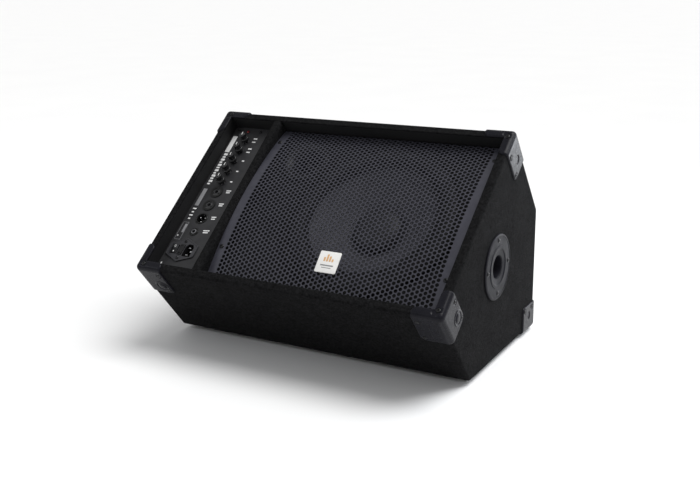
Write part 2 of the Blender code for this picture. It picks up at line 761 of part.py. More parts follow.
def build_woofer(front):
    """Woofer on the baffle, each part turned about the voice coil's axis with height 0 on the baffle."""
    axis = frame("woofer_axis", front, (WOOFER_X, WOOFER_SLANT, -BAFFLE_DEPTH))
    steel = finish("basket_paint", (0.03, 0.03, 0.032), 0.45, 0.4)
    sheet = BASKET_SHEET
    rest = GAP + sheet
    back = -BASKET_DEPTH
    neck = LEDGE_INNER - sheet
    profile = [
        (WOOFER_RADIUS, GAP),
        (WOOFER_RADIUS, rest),
        (SEAT_RADIUS, rest),
        (SEAT_INNER, -BASKET_STEP),
        (LEDGE_OUTER, -LEDGE_DEPTH),
        (LEDGE_INNER, -LEDGE_DEPTH),
        (neck, back + sheet),
        (BASKET_BORE, back + sheet),
        (BASKET_BORE, back),
        (neck + sheet, back),
        (LEDGE_INNER + sheet, -LEDGE_DEPTH - sheet),
        (LEDGE_OUTER + sheet, -LEDGE_DEPTH - sheet),
        (SEAT_INNER + sheet, -BASKET_STEP - sheet / 2),
        (SEAT_RADIUS + sheet, GAP),
    ]
    basket = turned("woofer_basket", profile, 30, steel, axis)
    windows = bmesh.new()
    middle = (SEAT_INNER + LEDGE_OUTER) / 2
    reach = (SEAT_INNER - LEDGE_OUTER) / 3
    for index in range(BASKET_WINDOWS):
        low = (middle - reach, -WINDOW_WIDTH / 2, back + 2 * sheet)
        made = add_box(windows, low, (middle + reach, WINDOW_WIDTH / 2, BASKET_STEP))
        turn = Matrix.Rotation(math.tau * index / BASKET_WINDOWS, 4, "Z")
        bmesh.ops.transform(windows, matrix=turn, verts=made)
    cut(basket, place("basket_window_cutter", to_mesh("basket_window_cutter", windows), None, axis))

    lip = rest + GAP
    fibre = finish("gasket_fibre", (0.03, 0.03, 0.03), 0.95)
    base = lip + SURROUND_SHEET + GAP
    profile = ring(GASKET_INNER, WOOFER_RADIUS - sheet, base, base + GASKET_THICK)
    turned("woofer_gasket", profile, 30, fibre, axis)

    cloth = finish("surround_cloth", (0.02, 0.02, 0.022), 0.9)
    thin = SURROUND_SHEET
    roll_out = SEAT_RADIUS - thin
    roll_in = CONE_RADIUS - SURROUND_OVERLAP
    steps = 5
    arch = []
    for step in range(steps + 1):
        angle = math.pi * step / steps
        radius = (roll_out + roll_in) / 2 + (roll_out - roll_in) / 2 * math.cos(angle)
        arch.append((radius, lip + SURROUND_RISE * math.sin(angle)))
    foot = CONE_RADIUS - CONE_LIP
    upper = [(radius, height + thin) for radius, height in arch]
    profile = [(WOOFER_RADIUS - sheet, lip), (WOOFER_RADIUS - sheet, lip + thin), *upper]
    profile += [(foot, lip + thin), (foot, lip), *reversed(arch)]
    turned("woofer_surround", profile, 30, cloth, axis)

    paper = finish("cone_paper", (0.35, 0.35, 0.34), 0.85)
    edge = lip - GAP
    neck_radius = COIL_INNER + COIL_WALL
    slope_radius = CONE_RADIUS - CONE_LIP

    def cone_height(radius):
        share = (slope_radius - radius) / (slope_radius - neck_radius)
        return edge - (NECK_DEPTH + edge) * share**CONE_CURVE

    bends = 4
    radii = [slope_radius + (neck_radius - slope_radius) * step / bends for step in range(bends)]
    face = [(radius, cone_height(radius)) for radius in [*radii, neck_radius]]
    rear = [(radius + CONE_FLARE, height - CONE_SHEET) for radius, height in face]
    rear[-1] = (neck_radius, rear[-1][1] - CONE_SHEET)
    profile = [(CONE_RADIUS, edge), *face, (COIL_INNER, -NECK_DEPTH), (COIL_INNER, -COIL_REACH)]
    profile += [(neck_radius, -COIL_REACH), *reversed(rear), (CONE_RADIUS, edge - CONE_SHEET)]
    turned("woofer_cone", profile, 30, paper, axis)

    cap_look = finish("dust_cap_paper", (0.12, 0.12, 0.12), 0.7)
    seat = cone_height(CAP_RADIUS) + 4 * GAP
    dome = []
    for step in range(6):
        share = step / 5
        dome.append((CAP_RADIUS * (1 - share), seat + CAP_HEIGHT * (1 - (1 - share) ** 2)))
    under = [(max(0.0, radius - CAP_SHEET), height) for radius, height in dome[:-1]]
    profile = [*[(radius, height + CAP_SHEET) for radius, height in dome], (0, dome[-1][1]), *reversed(under)]
    turned("dust_cap", profile, 20, cap_look, axis)

    amber = finish("spider_cloth", (0.45, 0.30, 0.12), 0.9)
    base = -LEDGE_DEPTH + GAP
    inner_edge = COIL_INNER + COIL_WALL + GAP
    outer_edge = LEDGE_OUTER - 2 * GAP
    wave = []
    for step in range(SPIDER_RIPPLES + 1):
        radius = outer_edge + (inner_edge - outer_edge) * step / SPIDER_RIPPLES
        raised = step % 2 and 1 < step < SPIDER_RIPPLES
        wave.append((radius, base + (SPIDER_RIPPLE if raised else 0)))
    profile = [*[(radius, height + thin) for radius, height in wave], *reversed(wave)]
    turned("spider", profile, 20, amber, axis)

    iron = finish("plated_steel", (0.45, 0.46, 0.48), 0.35, 0.9)
    ferrite = finish("ferrite", (0.03, 0.03, 0.03), 0.6)
    top = back - GAP
    bottom = top - PLATE_THICK
    bore = neck_radius + MAGNETIC_GAP
    turned("top_plate", ring(bore, TOP_PLATE_RADIUS, bottom, top), 28, iron, axis)
    low = bottom - GAP - MAGNET_THICK
    turned("magnet", ring(MAGNET_BORE, MAGNET_RADIUS, low, bottom - GAP), 28, ferrite, axis)
    pole = COIL_INNER - MAGNETIC_GAP
    seat = low - GAP
    profile = [(POLE_VENT, top), (pole, top), (pole, seat), (PLATE_RADIUS, seat)]
    profile += [(PLATE_RADIUS, seat - PLATE_THICK), (POLE_VENT, seat - PLATE_THICK)]
    turned("back_plate", profile, 28, iron.copy(), axis)


def build_tweeter(front):
    """Round horn on the baffle with its compression driver and centre plug."""
    axis = frame("tweeter_axis", front, (TWEETER_X, TWEETER_SLANT, -BAFFLE_DEPTH))
    plastic = finish("horn_plastic", (0.04, 0.04, 0.042), 0.4)
    flange = GAP + HORN_FLANGE
    bends = 4
    flare = []
    for step in range(bends + 1):
        share = step / bends
        radius = HORN_MOUTH + (HORN_THROAT - HORN_MOUTH) * math.sqrt(share)
        flare.append((radius, flange - HORN_LIP - (HORN_DEPTH + flange) * share))
    back = [(radius + HORN_WALL, height) for radius, height in flare[1:-1]]
    low = flare[-1][1]
    neck = HORN_THROAT + HORN_WALL
    profile = [(TWEETER_RADIUS, GAP), (TWEETER_RADIUS, flange), *flare, (neck, low), *reversed(back)]
    profile += [(HORN_MOUTH + HORN_WALL / 2, GAP)]
    turned("tweeter_horn", profile, 28, plastic, axis)
    metal = finish("driver_metal", (0.2, 0.2, 0.21), 0.4, 0.7)
    top = low - GAP
    base = top - DRIVER_LENGTH
    profile = [
        (0, -PLUG_TIP),
        (PLUG_RADIUS * 0.6, -PLUG_NOSE),
        (PLUG_RADIUS, -PLUG_TAPER),
        (PLUG_RADIUS, top),
        (DRIVER_RADIUS, top),
        (DRIVER_RADIUS, base + DRIVER_CHAMFER),
        (DRIVER_RADIUS - DRIVER_CHAMFER, base),
        (0, base),
    ]
    turned("tweeter_driver", profile, 24, metal, axis)


def build_leads(front):
    """Leads from the amplifier tray, through the divider, to each driver."""
    look = finish("lead_insulation", (0.35, 0.03, 0.03), 0.5)
    start = BAY_MIDDLE + BAY_WIDTH / 2 - TRAY_INSET + 2 * GAP
    driver_back = -(BAFFLE_DEPTH + HORN_DEPTH + HORN_LIP + GAP + DRIVER_LENGTH)
    tweeter_end = driver_back - LEAD_RADIUS - LEAD_STANDOFF
    woofer_end = WOOFER_X - MAGNET_RADIUS - LEAD_RADIUS
    stops = {
        "tweeter_lead": (TWEETER_SLANT, TWEETER_X - HORN_THROAT, tweeter_end),
        "woofer_lead": (WOOFER_SLANT, woofer_end, -LEAD_DEPTH - LEAD_DROP),
    }
    for name, (slant, end_x, end_height) in stops.items():
        curve = bpy.data.curves.new(name, "CURVE")
        curve.dimensions = "3D"
        curve.bevel_depth = LEAD_RADIUS
        curve.bevel_resolution = 2
        curve.use_fill_caps = True
        spline = curve.splines.new("POLY")
        spline.points.add(LEAD_POINTS)
        straight = DIVIDER_RIGHT + DIVIDER / 2
        drop = end_height + LEAD_DEPTH
        for step in range(LEAD_POINTS + 1):
            share = step / LEAD_POINTS
            x = start + (end_x - start) * share
            ease = max(0.0, (x - straight) / (end_x - straight))
            sag = LEAD_SAG * math.sin(math.pi * ease)
            height = -LEAD_DEPTH + drop * ease * ease * (3 - 2 * ease)
            spline.points[step].co = (x, slant, height - sag, 1)
        curve.materials.append(look.copy())
        lead = bpy.data.objects.new(name, curve)
        bpy.context.scene.collection.objects.link(lead)
        lead.parent = front


def build_panel(front):
    """Amplifier panel with a hole for everything that stands in it, and the steel tray behind."""
    paint = finish("panel_paint", (0.13, 0.13, 0.14), 0.5, 0.2)
    face = -PANEL_DEPTH
    low = (BAY_LEFT + GAP, BAY_LOW, face - PANEL_THICK)
    panel = box("amp_panel", low, (DIVIDER_LEFT - GAP, BAY_HIGH, face), paint, front)
    bush_hole = SHAFT_RADIUS + SHAFT_CLEARANCE + BUSH_WALL + GAP
    holes = [(COLUMN_X, slant, bush_hole, 16) for slant in KNOB_SLANTS]
    holes += [(COLUMN_X, slant, SOCKET_RADIUS + GAP, 24) for slant in SOCKET_SLANTS[:3]]
    holes.append((COLUMN_X, SOCKET_SLANTS[3], JACK_RADIUS + GAP, 20))
    holes.append((LAMP_X, LAMP_SLANT, LAMP_RADIUS + GAP, 12))
    cutter = bmesh.new()
    span = 4 * PANEL_THICK
    for x, slant, radius, steps in holes:
        add_turned(cutter, disc(radius, face - span, face + span), steps, (x, slant, 0))
    half_x = MAINS_BODY_WIDTH / 2 + GAP
    half_y = MAINS_BODY_HEIGHT / 2 + GAP
    low = (MAINS_X - half_x, MAINS_SLANT - half_y, face - span)
    add_box(cutter, low, (MAINS_X + half_x, MAINS_SLANT + half_y, face + span))
    cut(panel, place("panel_cutter", to_mesh("panel_cutter", cutter), None, front))

    zinc = finish("tray_steel", (0.5, 0.5, 0.52), 0.4, 0.8)
    top = face - PANEL_THICK - GAP
    half = BAY_WIDTH / 2 - TRAY_INSET
    low = Vector((BAY_MIDDLE - half, BAY_LOW + TRAY_INSET, top - TRAY_DEPTH))
    high = Vector((BAY_MIDDLE + half, BAY_HIGH - TRAY_INSET, top))
    tray = box("amp_tray", low, high, zinc, front)
    wall = Vector((TRAY_WALL, TRAY_WALL, 0))
    floor = Vector((0, 0, TRAY_WALL))
    cut(tray, box("tray_hollow", low + wall + floor, high - wall + Vector((0, 0, TRAY_DEPTH)), None, front))


def build_controls(front):
    """Control board with its five pots, and the knobs that turn on them."""
    resin = finish("control_board", (0.02, 0.12, 0.05), 0.5)
    under = -PANEL_DEPTH - PANEL_THICK
    pot_top = under - GAP
    board_top = pot_top - POT_HEIGHT
    margin = POT_RADIUS + BOARD_MARGIN
    low = (COLUMN_X - margin, KNOB_SLANTS[-1] - margin, board_top - BOARD_SHEET)
    high = (COLUMN_X + margin, KNOB_SLANTS[0] + margin, board_top)
    board = box("control_board", low, high, resin, front)
    bore = SHAFT_RADIUS + SHAFT_CLEARANCE
    bush = bore + BUSH_WALL
    bush_top = -PANEL_DEPTH + KNOB_LIFT - 3 * GAP
    shaft_end = board_top + 2 * GAP
    pots = bmesh.new()
    for slant in KNOB_SLANTS:
        profile = [(0, board_top - BOARD_SHEET / 2), (POT_RADIUS, board_top - BOARD_SHEET / 2)]
        profile += [(POT_RADIUS, pot_top), (bush, pot_top), (bush, bush_top), (bore, bush_top)]
        profile += [(bore, shaft_end), (0, shaft_end)]
        add_turned(pots, profile, 16, (COLUMN_X, slant, 0))
    join(board, place("pot_bodies", to_mesh("pot_bodies", pots), None, front))

    black = finish("knob_plastic", (0.015, 0.015, 0.016), 0.4)
    base = KNOB_LIFT
    top = base + KNOB_HEIGHT
    step = base + KNOB_SKIRT_HEIGHT
    tip = shaft_end + PANEL_DEPTH + 2 * GAP
    profile = [(0, tip), (SHAFT_RADIUS, tip), (SHAFT_RADIUS, base), (KNOB_SKIRT_RADIUS, base)]
    profile += [(KNOB_SKIRT_RADIUS, step - KNOB_EDGE), (KNOB_RADIUS, step), (KNOB_RADIUS, top - KNOB_EDGE)]
    profile += [(KNOB_RADIUS - KNOB_EDGE, top), (0, top)]
    knob = turned("knob", profile, 18, None, None)
    low = (-KNOB_LINE / 2, KNOB_EDGE, top - KNOB_LINE / 2)
    high = (KNOB_LINE / 2, KNOB_RADIUS * 2, top + KNOB_LINE)
    cut(knob, box("knob_slot", low, high, None, None))
    mesh = baked(knob)
    for index, slant in enumerate(KNOB_SLANTS):
        place(f"knob_{index + 1}", mesh, black.copy(), front, (COLUMN_X, slant, -PANEL_DEPTH))

    red = finish("lamp_lens", (0.6, 0.02, 0.02), 0.2)
    profile = [(0, -PANEL_THICK * 2), (LAMP_RADIUS, -PANEL_THICK * 2), (LAMP_RADIUS, LAMP_HEIGHT / 2)]
    profile += [(LAMP_RADIUS / 2, LAMP_HEIGHT), (0, LAMP_HEIGHT)]
    turned("power_lamp", profile, 12, red, front, location=(LAMP_X, LAMP_SLANT, -PANEL_DEPTH))


def socket_body(collar_radius, radius):
    """Return the outer profile of a round socket: a nose through the panel and a collar behind it."""
    under = -PANEL_THICK - GAP
    outer = [(0, -SOCKET_LENGTH), (collar_radius, -SOCKET_LENGTH), (collar_radius, under)]
    return outer + [(radius, under), (radius, SOCKET_NOSE)]


def build_sockets(front):
    """Two combined inputs, a three-pin output and a jack in one column."""
    grey = finish("socket_grey", (0.25, 0.25, 0.26), 0.4)
    nose = SOCKET_NOSE
    body = turned("combo", socket_body(SOCKET_COLLAR, SOCKET_RADIUS) + [(0, nose)], 24, None, None)
    holes = bmesh.new()
    add_turned(holes, disc(JACK_BORE, -SOCKET_LENGTH + SOCKET_FLOOR, 2 * nose), 16)
    for index in range(3):
        angle = math.radians(90 + 120 * index)
        x = CONTACT_CIRCLE * math.cos(angle)
        y = CONTACT_CIRCLE * math.sin(angle)
        add_turned(holes, disc(CONTACT_RADIUS, -CONTACT_DEPTH, 2 * nose), 8, (x, y, 0))
    cut(body, place("combo_holes", to_mesh("combo_holes", holes), None, None))
    mesh = baked(body)
    for index in range(2):
        where = (COLUMN_X, SOCKET_SLANTS[index], -PANEL_DEPTH)
        place(f"input_socket_{index + 1}", mesh, grey.copy(), front, where)

    black = finish("socket_black", (0.015, 0.015, 0.015), 0.4)
    well = nose - XLR_WELL
    profile = socket_body(SOCKET_COLLAR, SOCKET_RADIUS) + [(XLR_BORE, nose), (XLR_BORE, well), (0, well)]
    body = turned("output", profile, 24, None, None)
    pins = bmesh.new()
    for index in range(3):
        angle = math.radians(-90 + 120 * index)
        x = PIN_CIRCLE * math.cos(angle)
        y = PIN_CIRCLE * math.sin(angle)
        add_turned(pins, disc(CONTACT_RADIUS, well - PIN_ROOT, -PIN_ROOT), 8, (x, y, 0))
    join(body, place("output_pins", to_mesh("output_pins", pins), None, None))
    place("output_socket", baked(body), black, front, (COLUMN_X, SOCKET_SLANTS[2], -PANEL_DEPTH))

    profile = socket_body(JACK_RADIUS + JACK_FLARE, JACK_RADIUS)
    profile += [(JACK_RING, nose), (JACK_RING, 2 * nose), (JACK_BORE, 2 * nose)]
    profile += [(JACK_BORE, -SOCKET_LENGTH + SOCKET_FLOOR), (0, -SOCKET_LENGTH + SOCKET_FLOOR)]
    where = (COLUMN_X, SOCKET_SLANTS[3], -PANEL_DEPTH)
    turned("jack_socket", profile, 20, black.copy(), front, location=where)


def build_mains(front):
    """Mains unit: housing with the inlet's three pins, rocker switch and fuse drawer."""
    black = finish("mains_plastic", (0.05, 0.05, 0.055), 0.4)
    unit = frame("mains_unit", front, (MAINS_X, MAINS_SLANT, -PANEL_DEPTH))
    half = MAINS_WIDTH / 2
    tall = MAINS_HEIGHT / 2
    shoulder = MAINS_BODY_HEIGHT * 0.42
    top = GAP + MAINS_FLANGE
    hexagon = [(-half, -shoulder), (0, -tall), (half, -shoulder)]
    hexagon += [(half, shoulder), (0, tall), (-half, shoulder)]
    housing = prism("mains_inlet", hexagon, GAP, top, black, unit)
    low = (-MAINS_BODY_WIDTH / 2, -MAINS_BODY_HEIGHT / 2, -MAINS_BODY_DEPTH)
    high = (MAINS_BODY_WIDTH / 2, MAINS_BODY_HEIGHT / 2, top - MAINS_FLANGE / 2)
    join(housing, box("mains_body", low, high, None, unit))
    wells = bmesh.new()
    for offset, width, height, depth in (
        (INLET_OFFSET, INLET_WIDTH, INLET_HEIGHT, INLET_WELL),
        (DRAWER_OFFSET, DRAWER_WIDTH + 2 * GAP, DRAWER_HEIGHT + 2 * GAP, DRAWER_LENGTH + GAP),
        (ROCKER_OFFSET, ROCKER_WIDTH + 2 * GAP, ROCKER_HEIGHT + 4 * GAP, ROCKER_WELL),
    ):
        low = (offset - width / 2, -height / 2, top - depth)
        add_box(wells, low, (offset + width / 2, height / 2, top + depth))
    cut(housing, place("mains_wells", to_mesh("mains_wells", wells), None, unit))
    pins = bmesh.new()
    half_x = INLET_PIN_WIDTH / 2
    half_y = INLET_PIN_THICK / 2
    for x, y in INLET_PINS:
        low = (INLET_OFFSET + x - half_x, y - half_y, top - INLET_WELL - PIN_ROOT)
        add_box(pins, low, (INLET_OFFSET + x + half_x, y + half_y, top - INLET_PIN_DROP))
    join(housing, place("mains_pins", to_mesh("mains_pins", pins), None, unit))

    drawer = finish("drawer_plastic", (0.05, 0.05, 0.055), 0.45)
    half_x = DRAWER_WIDTH / 2
    half_y = DRAWER_HEIGHT / 2
    low = (DRAWER_OFFSET - half_x, -half_y, top - DRAWER_LENGTH + GAP)
    high = (DRAWER_OFFSET + half_x, half_y, top + DRAWER_TAB)
    box("fuse_drawer", low, high, drawer, unit)

    switch = finish("rocker_plastic", (0.012, 0.012, 0.012), 0.35)
    pivot = frame("rocker_pivot", unit, (ROCKER_OFFSET, 0, top - ROCKER_DROP), (ROCKER_TILT, 0, 0))
    swing = ROCKER_HEIGHT / 2 - 2 * GAP
    face = ROCKER_DROP
    rise = swing * math.tan(ROCKER_TILT)
    root = swing * 0.45
    waist = swing * 0.9
    tip = swing * 0.97
    section = [(-root, -ROCKER_BODY), (root, -ROCKER_BODY), (waist, 0), (tip, face + rise)]
    section += [(0, face), (-tip, face + rise), (-waist, 0)]
    half = ROCKER_WIDTH / 2
    prism("rocker_switch", section, -half, half, switch, pivot, ALONG_X)


def build_electronics(front):
    """Power board, heat sink and toroidal transformer in the amplifier tray."""
    floor = -PANEL_DEPTH - PANEL_THICK - GAP - TRAY_DEPTH + TRAY_WALL + GAP
    resin = finish("power_board", (0.02, 0.12, 0.05), 0.5)
    half = BAY_WIDTH / 2 - TRAY_INSET - TRAY_WALL - 4 * GAP
    sink_low = BAY_HIGH - TRAY_INSET - TRAY_WALL - HEATSINK_LENGTH - HEATSINK_INSET
    under = floor + HEATSINK_HEIGHT + STANDOFF
    low = (BAY_MIDDLE - half, sink_low - POWER_BOARD_SPARE, under)
    high = (BAY_MIDDLE + half, sink_low + HEATSINK_LENGTH, under + BOARD_SHEET)
    box("power_board", low, high, resin, front)
    alloy = finish("heatsink_alloy", (0.5, 0.5, 0.52), 0.4, 0.9)
    across = HEATSINK_WIDTH / 2
    pitch = (HEATSINK_WIDTH - FIN_THICK) / (HEATSINK_FINS - 1)
    tops = []
    for index in reversed(range(HEATSINK_FINS)):
        left = -across + pitch * index
        tops += [(left + FIN_THICK, HEATSINK_WEB), (left + FIN_THICK, HEATSINK_HEIGHT)]
        tops += [(left, HEATSINK_HEIGHT), (left, HEATSINK_WEB)]
    outline = [(-across, 0), (across, 0), *tops[1:-1]]
    sink = prism("heat_sink", outline, 0, HEATSINK_LENGTH, alloy, front, SWAP_YZ)
    sink.location = (BAY_MIDDLE, sink_low, floor)
    winding = finish("transformer_tape", (0.25, 0.20, 0.05), 0.6)
    bevel = TRANSFORMER_HEIGHT / 4
    outer = TRANSFORMER_RADIUS
    bore = TRANSFORMER_BORE
    tall = TRANSFORMER_HEIGHT
    profile = [(bore, bevel), (bore + bevel, 0), (outer - bevel, 0), (outer, bevel), (outer, tall - bevel)]
    profile += [(outer - bevel, tall), (bore + bevel, tall), (bore, tall - bevel)]
    slant = BAY_LOW + TRAY_INSET + TRAY_WALL + outer + TRANSFORMER_INSET
    turned("transformer", profile, 24, winding, front, location=(BAY_MIDDLE, slant, floor))


def main():
    """Build the whole monitor."""
    clear_scene()
    cabinet = frame("cabinet", None, (SHIFT_X, SHIFT_Y, FOOT_HEIGHT + GAP))
    front = frame("front", cabinet, (0, *EDGE_KICK), (SLOPE, 0, 0))
    build_boards(cabinet, front)
    build_carpet(cabinet)
    build_guards(cabinet, front)
    build_pole_socket(cabinet)
    build_handle(cabinet)
    build_grille(front)
    build_woofer(front)
    build_tweeter(front)
    build_leads(front)
    build_panel(front)
    build_controls(front)
    build_sockets(front)
    build_mains(front)
    build_electronics(front)


main()
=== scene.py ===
"""Looks of a carpeted stage monitor wedge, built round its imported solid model.

Lengths are in metres, +Z is up, +X is to the right of someone who faces the grille, +Y is to the back.
Most pieces are shaped in the front frame: x across, y up the slope from the kick edge, z out of the rim.
"""

from __future__ import annotations

import json
import logging
import math
from dataclasses import dataclass, replace
from enum import Enum
from typing import Callable, Iterable, Sequence

import bmesh
import bpy
import numpy as np
from mathutils import Matrix, Vector


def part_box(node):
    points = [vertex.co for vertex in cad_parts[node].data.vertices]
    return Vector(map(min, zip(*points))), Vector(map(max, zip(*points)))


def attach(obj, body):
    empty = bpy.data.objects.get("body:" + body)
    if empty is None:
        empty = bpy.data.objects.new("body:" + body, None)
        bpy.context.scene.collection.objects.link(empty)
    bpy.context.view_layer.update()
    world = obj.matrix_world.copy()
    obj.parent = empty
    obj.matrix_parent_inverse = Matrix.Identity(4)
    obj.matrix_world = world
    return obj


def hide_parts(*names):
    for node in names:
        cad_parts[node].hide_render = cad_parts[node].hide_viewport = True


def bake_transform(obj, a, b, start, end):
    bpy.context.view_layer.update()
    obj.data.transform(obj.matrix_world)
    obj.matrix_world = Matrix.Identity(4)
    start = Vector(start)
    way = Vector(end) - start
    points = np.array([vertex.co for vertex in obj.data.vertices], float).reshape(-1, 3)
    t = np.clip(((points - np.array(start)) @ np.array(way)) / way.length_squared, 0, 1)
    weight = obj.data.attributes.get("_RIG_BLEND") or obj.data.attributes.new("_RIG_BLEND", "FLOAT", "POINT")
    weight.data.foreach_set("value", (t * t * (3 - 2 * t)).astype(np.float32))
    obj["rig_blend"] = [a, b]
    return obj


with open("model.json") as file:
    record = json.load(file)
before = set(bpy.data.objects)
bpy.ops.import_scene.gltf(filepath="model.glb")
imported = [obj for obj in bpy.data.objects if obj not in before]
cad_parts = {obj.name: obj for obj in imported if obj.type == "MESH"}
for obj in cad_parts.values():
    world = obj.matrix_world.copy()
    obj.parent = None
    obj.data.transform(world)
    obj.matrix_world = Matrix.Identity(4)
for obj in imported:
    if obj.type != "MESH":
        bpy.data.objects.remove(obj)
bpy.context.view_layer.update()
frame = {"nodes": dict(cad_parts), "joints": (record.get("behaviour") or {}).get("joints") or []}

LOG = logging.getLogger("wedge")
CABINET = "cabinet"
MILLI = 0.001
WORLD = Matrix.Identity(4)
X_AXIS, Y_AXIS, Z_AXIS = Vector((1, 0, 0)), Vector((0, 1, 0)), Vector((0, 0, 1))

Socket = bpy.types.NodeSocket
Colour = tuple[float, float, float]
Outline = Sequence[tuple[float, float]]
Shape = tuple[np.ndarray, list[tuple[int, ...]]]


class Pattern(Enum):
    """Fine relief of a surface."""

    GRAIN = "grain"
    FELT = "felt"
    WEAVE = "weave"
    BRUSHED = "brushed"
    TIMBER = "timber"


class Graph:
    """A shader node tree with short ways to add nodes and join them."""

    def __init__(self, tree: bpy.types.NodeTree) -> None:
        """Keep the tree."""
        self.tree = tree

    def feed(self, socket: Socket, value: object) -> None:
        """Link a socket to an input, or set its constant."""
        if isinstance(value, Socket):
            self.tree.links.new(value, socket)
        else:
            socket.default_value = value

    def add(self, kind: str, inputs: dict | None = None, **settings: object) -> bpy.types.Node:
        """Add one node.

        Args:
            kind: The node's class name.
            inputs: Values or sockets by input name or number.
            settings: Properties of the node itself.

        Returns:
            The node.
        """
        node = self.tree.nodes.new(kind)
        for key, value in settings.items():
            setattr(node, key, value)
        for key, value in (inputs or {}).items():
            self.feed(node.inputs[key], value)
        return node

    def math(self, operation: str, first: object, second: object) -> Socket:
        """Return the result of a clamp-free math node."""
        return self.add("ShaderNodeMath", {0: first, 1: second}, operation=operation).outputs[0]

    def times(self, first: object, second: object) -> Socket:
        """Return the product of two values."""
        return self.math("MULTIPLY", first, second)

    def plus(self, first: object, second: object) -> Socket:
        """Return the sum of two values."""
        return self.math("ADD", first, second)

    def spread(self, value: object, low: float, high: float, floor: float = 0.0, top: float = 1.0) -> Socket:
        """Return a value stretched from low..high to floor..top and clamped there."""
        inputs = {"Value": value, "From Min": low, "From Max": high, "To Min": floor, "To Max": top}
        return self.add("ShaderNodeMapRange", inputs).outputs["Result"]

    def blend(self, factor: object, first: object, second: object) -> Socket:
        """Return a colour between two others."""
        node = self.add("ShaderNodeMix", data_type="RGBA")
        for socket, value in ((node.inputs[0], factor), (node.inputs[6], first), (node.inputs[7], second)):
            self.feed(socket, (*value, 1.0) if isinstance(value, tuple) and len(value) == 3 else value)
        return node.outputs[2]

    def noise(self, vector: object, scale: object, detail: float = 3.0, distortion: float = 0.0) -> Socket:
        """Return a noise value in 0..1."""
        inputs = {"Vector": vector, "Scale": scale, "Detail": detail, "Distortion": distortion}
        return self.add("ShaderNodeTexNoise", inputs).outputs[0]

    def stretched(self, vector: object, scale: tuple[float, float, float]) -> Socket:
        """Return the coordinates scaled by a different amount along each axis."""
        return self.add("ShaderNodeMapping", {"Vector": vector, "Scale": scale}).outputs[0]

    def coordinates(self) -> Socket:
        """Return the piece's own coordinates, in metres."""
        return self.add("ShaderNodeTexCoord").outputs["Object"]


